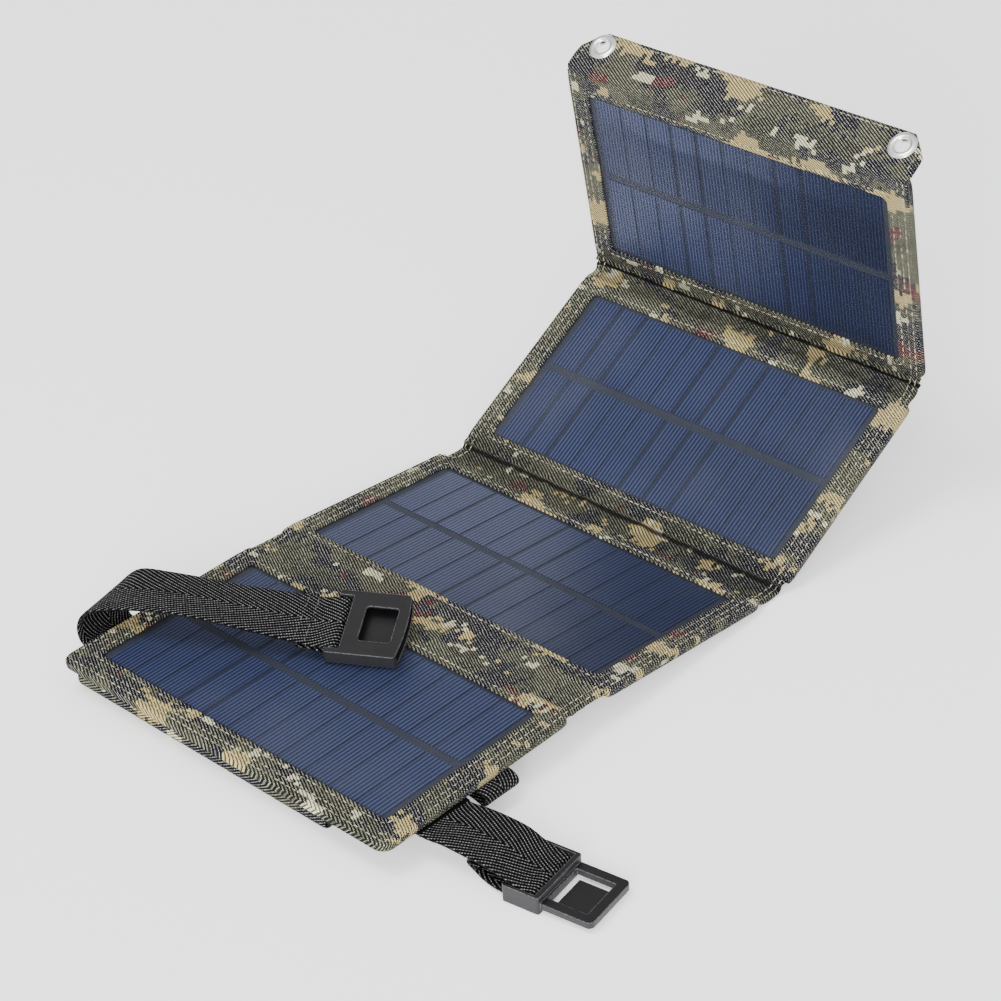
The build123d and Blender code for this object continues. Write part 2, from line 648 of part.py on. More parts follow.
with BuildPart() as plug_buckle:
    with BuildSketch(plug_plane):
        with Locations((PLUG_BODY / 2, 0)):
            RectangleRounded(PLUG_BODY, 2 * PLUG_SIDE, 1.0)
    extrude(amount=PLUG_HEIGHT)
    with BuildSketch(plug_plane.offset(PLUG_FLOOR)):
        with Locations((RECESS_FRONT / 2 - 1, 0)):
            Rectangle(RECESS_FRONT + 2, 2 * RECESS_INSIDE)
    extrude(amount=PLUG_HEIGHT, mode=Mode.SUBTRACT)
    with BuildSketch(plug_plane.offset(FRAME_BOTTOM)):
        with Locations(((PLUG_BODY + FRAME_END) / 2 - 1, 0)):
            RectangleRounded(FRAME_END - PLUG_BODY + 2, 2 * FRAME_SIDE, 2.2)
    extrude(amount=FRAME_THICKNESS)
    with BuildSketch(plug_plane.offset(FRAME_BOTTOM)):
        with Locations(((OPENING_X[0] + OPENING_X[1]) / 2, 0)):
            Rectangle(OPENING_X[1] - OPENING_X[0], 2 * OPENING_SIDE)
    extrude(amount=FRAME_THICKNESS, mode=Mode.SUBTRACT)
    with Locations(bar_plane(plug_plane, PLUG_BAR)):
        Cylinder(BAR, 2 * RECESS_INSIDE + 1.0)
save(plug_buckle, "plug_buckle")

# The tongue springs from the frame's free end; pressing it down releases the socket. Wide slots part it from
# the rail behind it and the one on its left, and on its right it lies close to the rail.
tongue_middle = ((TONGUE_X[0] + TONGUE_X[1]) / 2, (TONGUE_Y[0] + TONGUE_Y[1]) / 2)
with BuildPart() as latch_tongue:
    with BuildSketch(plug_plane.offset(TONGUE_BOTTOM)):
        with Locations(tongue_middle):
            Rectangle(TONGUE_X[1] - TONGUE_X[0], TONGUE_Y[1] - TONGUE_Y[0])
    extrude(amount=TONGUE_THICKNESS)
save(latch_tongue, "latch_tongue")

# ---------------------------------------------------------------- joint lines, printed for the record
half_bend = math.radians((PANEL_ANGLES[2] + PANEL_ANGLES[1]) / 2)
axis_23 = creases[2] - Vector(0, -math.sin(half_bend), math.cos(half_bend)) * (
    PANEL_THICKNESS / math.cos(half_bend_23)
)
tongue_hinge = plug_plane.from_local_coords(
    (OPENING_X[1], tongue_middle[1], TONGUE_BOTTOM + TONGUE_THICKNESS / 2)
)
for title, point in (
    ("crease 1/2", creases[1]),
    ("crease 2/3", axis_23),
    ("crease 3/4", creases[3]),
    ("flap", flap_hinge),
    ("pocket flap", Vector(0, POCKET_FRONT - FLAP_CLEARANCE, UNDERSIDE - FLAP_CLEARANCE)),
    ("left strap", LEFT_HINGE),
    ("right strap", RIGHT_HINGE),
    ("socket buckle", socket_plane.origin),
    ("plug buckle", plug_bar),
    ("tongue", tongue_hinge),
):
    print(title, [round(value, 3) for value in point])
print("socket across", [round(v, 5) for v in socket_plane.y_dir], "plug across",
      [round(v, 5) for v in plug_plane.y_dir])
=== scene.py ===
"""Looks of the folding solar charger: camouflage cloth, solar cells behind film, webbing, buckles, eyelets.
Lengths are written in millimetres and turned into metres when a mesh is made."""

import math

import bpy
import numpy as np
from mathutils import Matrix, Vector, noise


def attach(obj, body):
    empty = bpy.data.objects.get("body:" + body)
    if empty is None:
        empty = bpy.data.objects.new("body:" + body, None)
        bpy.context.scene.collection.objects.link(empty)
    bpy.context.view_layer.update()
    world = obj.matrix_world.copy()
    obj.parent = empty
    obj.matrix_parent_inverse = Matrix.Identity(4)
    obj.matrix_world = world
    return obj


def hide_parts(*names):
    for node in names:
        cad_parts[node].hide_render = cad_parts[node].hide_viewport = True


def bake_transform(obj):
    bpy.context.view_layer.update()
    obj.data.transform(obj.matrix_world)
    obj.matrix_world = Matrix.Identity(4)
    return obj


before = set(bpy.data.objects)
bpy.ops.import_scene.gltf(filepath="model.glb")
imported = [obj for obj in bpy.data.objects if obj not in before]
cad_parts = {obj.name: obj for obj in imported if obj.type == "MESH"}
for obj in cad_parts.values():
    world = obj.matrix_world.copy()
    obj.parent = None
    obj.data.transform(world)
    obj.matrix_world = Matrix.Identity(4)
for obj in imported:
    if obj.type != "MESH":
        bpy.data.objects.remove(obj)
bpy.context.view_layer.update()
MM = 0.001

# ---------------------------------------------------------------- camera
CAMERA_PLACE = (0.6553, -0.5526, 0.6483)
CAMERA_RIGHT = Vector((0.72982, 0.68183, -0.04959))
CAMERA_DOWN = Vector((0.34288, -0.42783, -0.83630))
CAMERA_AHEAD = Vector((-0.59143, 0.59335, -0.54603))

camera_data = bpy.data.cameras.new("camera")
camera_data.lens = 101.46
camera_data.sensor_width = 36.0
camera_data.clip_start = 0.05
camera_data.clip_end = 20.0
camera = bpy.data.objects.new("camera", camera_data)
bpy.context.scene.collection.objects.link(camera)
turn = Matrix((CAMERA_RIGHT, -CAMERA_DOWN, -CAMERA_AHEAD)).transposed()
camera.matrix_world = Matrix.Translation(CAMERA_PLACE) @ turn.to_4x4()
bpy.context.scene.camera = camera

# ---------------------------------------------------------------- the row of panels
PANEL_WIDTH = 176.0
WINDOW_WIDTH = 155.0
WINDOW_DEPTH = 79.0
NEAR_MARGINS = (11.5, 16.7, 9.8, 9.4)
FAR_MARGINS = (16.9, 19.4, 15.2, 10.1)
PANEL_ANGLES = (0.0, -5.6, 29.0, 98.7)
PANEL_THICKNESS = 3.4
FACE_HEIGHT = 14.776
FILM_DEPTH = 0.7
BORDER = 5.5
FLAP_ANGLE = 32.0
FLAP_LENGTH = 20.0
FLAP_HINGE = np.array((0.0, 248.511, 152.774))
FLAP_THICKNESS = 1.8
STRIP_THICKNESS = 1.4
STRIP_LIFTS = (0.0, -2.0, 0.0)  # top of each fold's strip, from the panels' faces

lengths = [near + WINDOW_DEPTH + far for near, far in zip(NEAR_MARGINS, FAR_MARGINS)]
chain_starts = [sum(lengths[:panel]) for panel in range(5)]


def heading(angle):
    return np.array((0.0, math.cos(math.radians(angle)), math.sin(math.radians(angle))))


def outward(angle):
    return np.array((0.0, -math.sin(math.radians(angle)), math.cos(math.radians(angle))))


creases = [np.array((0.0, -NEAR_MARGINS[0] - WINDOW_DEPTH / 2, FACE_HEIGHT))]
for length, angle in zip(lengths, PANEL_ANGLES):
    creases.append(creases[-1] + heading(angle) * length)


def on_panel(panel, x, s, lift):
    """Points at x across and s past the panel's near crease, lifted off its face. Arrays are fine."""
    x, s, lift = np.broadcast_arrays(np.asarray(x, float), np.asarray(s, float), np.asarray(lift, float))
    angle = PANEL_ANGLES[panel]
    place = creases[panel] + s[..., None] * heading(angle) + lift[..., None] * outward(angle)
    return place + x[..., None] * np.array((1.0, 0.0, 0.0))


# ---------------------------------------------------------------- material tools
def material(name, roughness, metallic=0.0, specular=0.5):
    """A new material, with its node tree and its shader."""
    made = bpy.data.materials.new(name)
    made.use_nodes = True
    tree = made.node_tree
    shader = tree.nodes["Principled BSDF"]
    shader.inputs["Roughness"].default_value = roughness
    shader.inputs["Metallic"].default_value = metallic
    shader.inputs["Specular IOR Level"].default_value = specular
    return made, tree, shader


def add(tree, kind, links=None, **values):
    """Adds a node. values set its properties, links feeds its inputs from sockets or constants."""
    node = tree.nodes.new(kind)
    for key, value in values.items():
        setattr(node, key, value)
    for key, value in (links or {}).items():
        socket = node.inputs[key]
        if isinstance(value, bpy.types.NodeSocket):
            tree.links.new(value, socket)
        else:
            socket.default_value = value
    return node


def math_node(tree, operation, first, second=0.0, third=0.0):
    links = {0: first, 1: second, 2: third}
    return add(tree, "ShaderNodeMath", links, operation=operation).outputs[0]


def times(tree, first, second):
    return math_node(tree, "MULTIPLY", first, second)


def times_plus(tree, first, second, third):
    return math_node(tree, "MULTIPLY_ADD", first, second, third)


def away_from(tree, value, middle):
    """Distance of a value from the middle."""
    return math_node(tree, "ABSOLUTE", math_node(tree, "SUBTRACT", value, middle))


def wave_of(tree, value, pitch):
    return math_node(tree, "SINE", times(tree, value, 2 * math.pi / pitch))


def paint(tree, shader, colour):
    tree.links.new(colour, shader.inputs["Base Color"])


def place_of(tree):
    """The place on the object, in metres of the frame."""
    return add(tree, "ShaderNodeTexCoord").outputs["Object"]


def mix(tree, factor, first, second):
    """A colour mix of two sockets or colours."""
    links = {0: factor, 6: first, 7: second}
    return add(tree, "ShaderNodeMix", links, data_type="RGBA").outputs[2]


def noise_value(tree, vector, scale, detail=2.0, roughness=0.5):
    links = {"Vector": vector, "Scale": scale, "Detail": detail, "Roughness": roughness}
    return add(tree, "ShaderNodeTexNoise", links).outputs["Fac"]


def steps(tree, value, low, high):
    """Rises from 0 to 1 as value goes from low to high."""
    links = {"Value": value, "From Min": low, "From Max": high}
    return add(tree, "ShaderNodeMapRange", links, interpolation_type="SMOOTHSTEP").outputs[0]


def bump(tree, shader, height, distance, strength=1.0, normal=None):
    links = {"Height": height, "Distance": distance, "Strength": strength}
    if normal is not None:
        links["Normal"] = normal
    node = add(tree, "ShaderNodeBump", links)
    tree.links.new(node.outputs[0], shader.inputs["Normal"])
    return node.outputs[0]


def cloth_axes(tree):
    """The u and v of the cloth in millimetres, from the mesh's UV map, and both as a vector."""
    place = add(tree, "ShaderNodeUVMap", uv_map="cloth").outputs[0]
    parts = add(tree, "ShaderNodeSeparateXYZ", {0: place})
    return parts.outputs[0], parts.outputs[1], place


# ---------------------------------------------------------------- camouflage cloth
OLIVE = (0.064, 0.066, 0.041, 1)
DARK_OLIVE = (0.030, 0.032, 0.021, 1)
NAVY = (0.007, 0.008, 0.018, 1)
TAN = (0.42, 0.33, 0.135, 1)
PALE = (0.60, 0.57, 0.38, 1)
MAROON = (0.075, 0.011, 0.015, 1)
CAMOUFLAGE_PIXEL = 2.1
TWILL_PITCH = 1.1
FOLD_PAINTED_SHADES = {1: 0.38, 2: 0.5}  # how much painted shade darkens the cloth at a fold
FOLD_REACH = 13.0
CREASE_REACH = 1.5
SHADOW = (0.002, 0.002, 0.002, 1)
LINING_PITCH = 0.7
WEBBING_WIDTH = 25.0
RIB_PITCH = 1.45
CROSS_PITCH = 1.15


def patch(tree, cells, jitter, scale, ragged, threshold, shift):
    """1 inside the blocky patches of one camouflage colour. cells is the pixel's own place."""
    moved = add(tree, "ShaderNodeVectorMath", {0: cells, 1: (shift, shift * 0.7, shift * 1.3)}).outputs[0]
    coarse = noise_value(tree, moved, scale, 1.0)
    rough = times_plus(tree, jitter, ragged, coarse)
    return math_node(tree, "GREATER_THAN", rough, threshold + ragged / 2)


def twill(tree, u, v, pitch):
    """Height of a twill weave: ribs that run askew, broken by the crossing threads."""
    askew = times_plus(tree, u, 0.55, v)
    rib = wave_of(tree, askew, pitch * 1.14)
    along = times_plus(tree, v, -0.55, u)
    knot = wave_of(tree, along, pitch * 0.8)
    both = times_plus(tree, knot, 0.45, rib)
    return times_plus(tree, both, 0.35, 0.5)


def camouflage(name):
    made, tree, shader = material(name, 0.86, specular=0.1)
    u, v, place = cloth_axes(tree)
    whole = add(tree, "ShaderNodeVectorMath", {0: place, 1: (CAMOUFLAGE_PIXEL,) * 3}, operation="SNAP")
    cells = whole.outputs[0]
    white = add(tree, "ShaderNodeTexWhiteNoise", {"Vector": cells}, noise_dimensions="3D").outputs["Value"]
    stretched = add(tree, "ShaderNodeVectorMath", {0: cells, 1: (0.8, 1.25, 1.0)}, operation="MULTIPLY")
    wide = stretched.outputs[0]
    layers = (
        (DARK_OLIVE, 0.050, 0.14, 0.53, 11.0),
        (NAVY, 0.055, 0.12, 0.535, 37.0),
        (TAN, 0.052, 0.09, 0.628, 71.0),
        (PALE, 0.085, 0.10, 0.690, 93.0),
        (MAROON, 0.055, 0.08, 0.705, 158.0),
    )
    colour = OLIVE
    for shade, scale, ragged, threshold, shift in layers:
        colour = mix(tree, patch(tree, wide, white, scale, ragged, threshold, shift), colour, shade)
    weave = twill(tree, u, v, TWILL_PITCH)
    fuzz = noise_value(tree, place, 1.9, 4.0, 0.7)
    # Painted highlights: pale specks on the weave's ridges. Painted shade: its valleys drawn nearly black.
    painted_glint = times(tree, steps(tree, weave, 0.64, 0.93), steps(tree, fuzz, 0.42, 0.62))
    shaded = mix(tree, steps(tree, weave, 0.56, 0.20), colour, SHADOW)
    lit = mix(tree, times(tree, painted_glint, 0.72), shaded, (0.80, 0.79, 0.66, 1))
    # Painted shade at folds 2/3 and 3/4: a broad darkening each side of the crease and a dark line along it.
    for fold, depth in FOLD_PAINTED_SHADES.items():
        away = away_from(tree, v, chain_starts[fold + 1])
        for reach, share in ((FOLD_REACH, depth), (CREASE_REACH, 0.9)):
            shade = times(tree, steps(tree, away, reach, reach * 0.3), share)
            lit = mix(tree, shade, lit, SHADOW)
    paint(tree, shader, lit)
    height = times_plus(tree, fuzz, 0.5, weave)
    bump(tree, shader, height, 0.00022, 0.9)
    return made


def lining(name):
    """The thin black plain-weave cloth of the undersides."""
    made, tree, shader = material(name, 0.9)
    u, v, place = cloth_axes(tree)
    over = wave_of(tree, u, LINING_PITCH)
    under = wave_of(tree, v, LINING_PITCH)
    weave = times_plus(tree, times(tree, over, under), 0.5, 0.5)
    fuzz = noise_value(tree, place, 0.6, 5.0, 0.7)
    colour = mix(tree, weave, (0.006, 0.006, 0.007, 1), (0.028, 0.028, 0.031, 1))
    dusty = mix(tree, steps(tree, fuzz, 0.55, 0.8), colour, (0.05, 0.05, 0.052, 1))
    paint(tree, shader, dusty)
    bump(tree, shader, times_plus(tree, fuzz, 0.4, weave), 0.00015)
    return made


def webbing(name):
    """Black webbing in a broad herringbone: ribs that lean one way on each half of the width, their tops
    painted as bright highlights.
    """
    made, tree, shader = material(name, 0.62, specular=0.03)
    u, v, place = cloth_axes(tree)
    beside = math_node(tree, "PINGPONG", math_node(tree, "ADD", u, 100.0), WEBBING_WIDTH / 2)
    rib_phase = times_plus(tree, v, 0.45, beside)
    rib = wave_of(tree, rib_phase, RIB_PITCH)
    cross_phase = math_node(tree, "SUBTRACT", times(tree, beside, 0.45), v)
    cross = wave_of(tree, cross_phase, CROSS_PITCH)
    weave = times_plus(tree, times_plus(tree, cross, 0.28, rib), 0.39, 0.5)
    fuzz = noise_value(tree, place, 1.4, 4.0, 0.75)
    low = mix(tree, fuzz, (0.001, 0.001, 0.001, 1), (0.004, 0.004, 0.004, 1))
    # Painted highlight: the ribs' tops are painted pale grey, broken by the fuzz.
    high = mix(tree, steps(tree, fuzz, 0.34, 0.66), (0.025, 0.025, 0.025, 1), (0.29, 0.29, 0.295, 1))
    paint(tree, shader, mix(tree, steps(tree, weave, 0.68, 0.97), low, high))
    bump(tree, shader, times_plus(tree, fuzz, 0.35, weave), 0.0004)
    return made


def thread(name, colour, dark):
    """Twisted sewing thread."""
    made, tree, shader = material(name, 0.7)
    place = place_of(tree)
    tone = noise_value(tree, place, 420.0, 3.0, 0.7)
    paint(tree, shader, mix(tree, steps(tree, tone, 0.38, 0.62), dark, colour))
    bump(tree, shader, noise_value(tree, place, 3500.0, 1.0), 0.0001)
    return made


# ---------------------------------------------------------------- hard materials
def uneven_sheen(tree, shader, fine, broad, roughness):
    """Lets the roughness wander round its value with the fine and the broad noise."""
    rough = times_plus(tree, math_node(tree, "ADD", fine, broad), 0.18, roughness - 0.18)
    tree.links.new(rough, shader.inputs["Roughness"])


def speckled(name, low, high, roughness, edge=0.0003, grain=2600.0, depth=0.00003, metallic=0.0):
    """Moulded or stamped stuff: softened edges, fine grain and broad changes of sheen."""
    made, tree, shader = material(name, roughness, metallic)
    place = place_of(tree)
    fine = noise_value(tree, place, grain, 3.0, 0.6)
    broad = noise_value(tree, place, 90.0, 3.0, 0.6)
    paint(tree, shader, mix(tree, broad, low, high))
    uneven_sheen(tree, shader, fine, broad, roughness)
    soft = add(tree, "ShaderNodeBevel", {"Radius": edge}, samples=6).outputs[0]
    bump(tree, shader, fine, depth, 0.8, soft)
    return made


def moulded(name):
    """Black buckle plastic: a dull top, upright sides painted lighter as if lit, and painted highlights along
    the edges.
    """
    made, tree, shader = material(name, 0.36, specular=0.28)
    coordinates = add(tree, "ShaderNodeTexCoord")
    fine = noise_value(tree, coordinates.outputs["Object"], 1800.0, 3.0, 0.6)
    broad = noise_value(tree, coordinates.outputs["Object"], 90.0, 3.0, 0.6)
    upright = add(tree, "ShaderNodeSeparateXYZ", {0: coordinates.outputs["Normal"]}).outputs[2]
    # Painted light: faces that stand upright are coloured lighter than the top, as if lit from the side.
    side = steps(tree, math_node(tree, "ABSOLUTE", upright), 0.8, 0.3)
    dull = mix(tree, broad, (0.003, 0.003, 0.0035, 1), (0.007, 0.007, 0.008, 1))
    sidelit_colour = mix(tree, fine, (0.010, 0.010, 0.011, 1), (0.036, 0.036, 0.039, 1))
    soft = add(tree, "ShaderNodeBevel", {"Radius": 0.0006}, samples=8).outputs[0]
    face = add(tree, "ShaderNodeNewGeometry").outputs["True Normal"]
    turned = add(tree, "ShaderNodeVectorMath", {0: soft, 1: face}, operation="DOT_PRODUCT").outputs["Value"]
    # Painted highlight: where the softened normal turns away from the face, the edges are painted pale grey.
    edge_highlight = times(tree, steps(tree, turned, 0.985, 0.86), steps(tree, fine, 0.35, 0.6))
    plain = mix(tree, side, dull, sidelit_colour)
    paint(tree, shader, mix(tree, edge_highlight, plain, (0.15, 0.15, 0.155, 1)))
    uneven_sheen(tree, shader, fine, broad, 0.4)
    bump(tree, shader, fine, 0.00006, 0.8, soft)
    return made


CELL_PITCH = 13.53  # from one cell of a row to the next
FINGER_PITCH = CELL_PITCH / 8
WIDE_GAPS = (  # lines between cells that show broad and dark, counted from the window's middle
    (-2.5, -1.5),
    (-0.5, 0.5, -3.5),
    (-4.5, -3.5, -0.5, 0.5, 1.5),
    (-2.5, -1.5, 1.5, 2.5),
)
RIGHT_END_SHADE = (0.0, 0.45, 0.2, 0.6)  # painted shade: how much darker each panel's right end is


def solar_cell(name, wide_gaps, right_end_shade):
    """Blue cell with pale fingers and darker lines, all running away from the crease, and painted shade
    towards the panel's right end.
    """
    made, tree, shader = material(name, 0.35, specular=0.2)
    place = place_of(tree)
    millimetres = add(tree, "ShaderNodeVectorMath", {0: place, "Scale": 1000.0}, operation="SCALE").outputs[0]
    x = add(tree, "ShaderNodeSeparateXYZ", {0: millimetres}).outputs[0]
    wave = math_node(tree, "PINGPONG", math_node(tree, "ADD", x, 200.0), FINGER_PITCH / 2)
    finger = steps(tree, wave, FINGER_PITCH * 0.27, FINGER_PITCH * 0.46)
    drift = noise_value(tree, millimetres, 0.02, 2.0)
    grain = noise_value(tree, millimetres, 0.6, 3.0, 0.6)
    blue = mix(tree, drift, (0.0025, 0.005, 0.023, 1), (0.005, 0.010, 0.036, 1))
    line = mix(tree, grain, (0.040, 0.054, 0.122, 1), (0.062, 0.080, 0.165, 1))
    lined = mix(tree, finger, blue, line)
    for gap in wide_gaps:
        away = away_from(tree, x, gap * CELL_PITCH)
        lined = mix(tree, steps(tree, away, 1.6, 1.0), lined, (0.008, 0.012, 0.032, 1))
    # Painted shade: the cell is darkened towards its panel's right end.
    darker = times(tree, steps(tree, x, -40.0, 75.0), right_end_shade)
    paint(tree, shader, mix(tree, darker, lined, (0.001, 0.002, 0.006, 1)))
    bump(tree, shader, finger, 0.00003, 0.5)
    return made


def film(name):
    """Clear film with a soft gloss and a faint milky haze."""
    made, tree, shader = material(name, 0.2)
    place = place_of(tree)
    smudge = noise_value(tree, place, 14.0, 3.0, 0.55)
    waves = noise_value(tree, place, 40.0, 2.0, 0.5)
    shader.inputs["Base Color"].default_value = (0.13, 0.14, 0.18, 1)
    rough = times_plus(tree, steps(tree, smudge, 0.4, 0.75), 0.12, 0.32)
    tree.links.new(rough, shader.inputs["Roughness"])
    wavy = bump(tree, shader, waves, 0.0004, 0.25)
    clear = add(tree, "ShaderNodeBsdfTransparent", {"Color": (0.96, 0.97, 1.0, 1)})
    sheen = add(tree, "ShaderNodeFresnel", {"IOR": 1.24, "Normal": wavy}).outputs[0]
    haze = times_plus(tree, steps(tree, smudge, 0.45, 0.8), 0.12, 0.035)
    back = add(tree, "ShaderNodeNewGeometry").outputs["Backfacing"]
    front = math_node(tree, "SUBTRACT", 1.0, back)
    amount = times(tree, math_node(tree, "ADD", sheen, haze), front)
    both = add(tree, "ShaderNodeMixShader", {0: amount, 1: clear.outputs[0], 2: shader.outputs[0]})
    tree.links.new(both.outputs[0], tree.nodes["Material Output"].inputs["Surface"])
    return made


CAMOUFLAGE = camouflage("camouflage_cloth")
LINING = lining("lining_cloth")
WEBBING = webbing("black_webbing")
THREAD = thread("cream_thread", (0.56, 0.51, 0.37, 1), (0.10, 0.09, 0.06, 1))
BLACK_THREAD = thread("black_thread", (0.12, 0.12, 0.115, 1), (0.01, 0.01, 0.01, 1))
BUCKLE = moulded("buckle_plastic")
CASE = speckled("black_plastic", (0.015, 0.015, 0.016, 1), (0.028, 0.028, 0.030, 1), 0.6)
EYELET = speckled(
    "eyelet_metal", (0.80, 0.80, 0.79, 1), (0.92, 0.92, 0.90, 1), 0.24, 0.0004, 900.0, 0.00002, 1.0
)
STEEL = speckled("bare_steel", (0.5, 0.5, 0.5, 1), (0.62, 0.62, 0.61, 1), 0.35, 0.0002, 1500.0, 0.00002, 1.0)
BOARD = speckled("module_board", (0.004, 0.006, 0.012, 1), (0.007, 0.010, 0.018, 1), 0.7)
WHITE = speckled("white_board", (0.70, 0.70, 0.67, 1), (0.80, 0.80, 0.77, 1), 0.7)
LEAD = speckled("lead_insulation", (0.22, 0.015, 0.015, 1), (0.32, 0.03, 0.025, 1), 0.45)
LAMP = speckled("lamp_lens", (0.45, 0.04, 0.03, 1), (0.60, 0.07, 0.05, 1), 0.2)
TAPE = speckled(
    "hook_and_loop", (0.006, 0.006, 0.007, 1), (0.04, 0.04, 0.042, 1), 0.95, 0.0002, 1500.0, 0.0005
)
CELLS = [solar_cell(f"cell_glass_{panel + 1}", WIDE_GAPS[panel], RIGHT_END_SHADE[panel]) for panel in range(4)]
FILM = film("clear_film")

NODE_LOOKS = {
    **{f"solar_cells_{panel + 1}": look for panel, look in enumerate(CELLS)},
    "window_film": FILM, "circuit_board": BOARD, "stiffener": WHITE,
    "module_leads": LEAD, "regulator_board": BOARD, "regulator_base": CASE, "regulator_lid": CASE,
    "usb_socket": STEEL, "usb_contact_tongue": WHITE, "status_lamp": LAMP, "regulator_screws": STEEL,
    "hook_tape": TAPE, "loop_tape": TAPE, "eyelets": EYELET, "eyelet_washers": EYELET,
    "socket_buckle": BUCKLE, "plug_buckle": BUCKLE, "latch_tongue": BUCKLE, "sewn_strap": WEBBING,
}
for name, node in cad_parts.items():
    for start, look in NODE_LOOKS.items():
        if name.startswith(start):
            node.data.materials.clear()
            node.data.materials.append(look)


# ---------------------------------------------------------------- mesh tools
def mesh_object(name, points, faces, looks, uvs=None, slots=None):
    """An object from points in millimetres. uvs is one (u, v) per point and slots one index per face."""
    mesh = bpy.data.meshes.new(name)
    mesh.from_pydata([tuple(p) for p in np.asarray(points) * MM], [], [tuple(f) for f in faces])
    for look in looks:
        mesh.materials.append(look)
    if slots is not None:
        mesh.polygons.foreach_set("material_index", np.asarray(slots, np.int32))
    if uvs is not None:
        layer = mesh.uv_layers.new(name="cloth")
        corner = np.zeros(len(mesh.loops), np.int32)
        mesh.loops.foreach_get("vertex_index", corner)
        layer.data.foreach_set("uv", np.asarray(uvs, np.float32)[corner].ravel())
    mesh.polygons.foreach_set("use_smooth", np.full(len(mesh.polygons), True))
    mesh.update()
    made = bpy.data.objects.new(name, mesh)
    bpy.context.scene.collection.objects.link(made)
    return made


def grid_faces(rows, columns, around=False, offset=0):
    """Quads of a grid of points, which may close up along its columns."""
    faces = []
    for row in range(rows - 1):
        for column in range(columns if around else columns - 1):
            after = (column + 1) % columns
            low, high = offset + row * columns, offset + (row + 1) * columns
            faces.append((low + column, low + after, high + after, high + column))
    return faces


def dress(piece, body, node):
    """Makes a piece ride on a body and hides the CAD node that it stands for."""
    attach(piece, body)
    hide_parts(node)


def marks_along(path):
    """Distance of each point of a line from its first, along the line."""
    return np.concatenate(([0], np.cumsum(np.linalg.norm(np.diff(path, axis=0), axis=1))))


def ripple(place, size, seed):
    """Smooth noise between -1 and 1 at a point in millimetres."""
    return noise.noise(Vector((place[0] / size, place[1] / size, seed)))


# ---------------------------------------------------------------- covers
STITCH_FROM_WINDOW = 2.3
OUTER_ROWS = (2.2, 4.9)  # stitch rows, from the free edges
SIDE_POINTS = (96, 54)  # points along a long and a short side
CORNER_POINTS = 10
COVER_RINGS = 20
ROLL_STEP = 1.1  # cloth from one ring of the rolled edge to the next


def outline(half, low, high, near_corner, far_corner):
    """Rounded rectangle as points (x, s), anticlockwise from the near right corner's start.
    A corner is its (radius in x, radius in s)."""
    corners = (
        (half, low, near_corner, -90),
        (half, high, far_corner, 0),
        (-half, high, far_corner, 90),
        (-half, low, near_corner, 180),
    )
    arcs = []
    for x, s, (rx, rs), start in corners:
        centre = (x - math.copysign(rx, x), s + rs if s == low else s - rs)
        turns = np.radians(start + np.linspace(0, 90, CORNER_POINTS))
        arcs.append(np.stack((centre[0] + rx * np.cos(turns), centre[1] + rs * np.sin(turns)), 1))
    points = []
    for index, arc in enumerate(arcs):
        after = arcs[(index + 1) % 4][0]
        count = SIDE_POINTS[1] if index % 2 == 0 else SIDE_POINTS[0]
        straight = np.linspace(arc[-1], after, count + 2)[1:-1]
        points.append(np.concatenate((arc, straight)))
    return np.concatenate(points)


def cover_span(panel):
    """Where a panel's stiff cover begins and ends, past its near crease."""
    low = 0.0 if panel == 0 else NEAR_MARGINS[panel] - BORDER
    high = lengths[panel] if panel == 3 else NEAR_MARGINS[panel] + WINDOW_DEPTH + BORDER
    return low, high


def ringed_sheet(name, panel, rings, lifts, uvs, look):
    """A sheet on a panel, from rings of (x, s) points that are each lifted off its face."""
    places = [on_panel(panel, ring[:, 0], ring[:, 1], lift) for ring, lift in zip(rings, lifts)]
    faces = grid_faces(len(rings), len(rings[0]), around=True)
    return mesh_object(name, np.concatenate(places), faces, [look], np.concatenate(uvs))


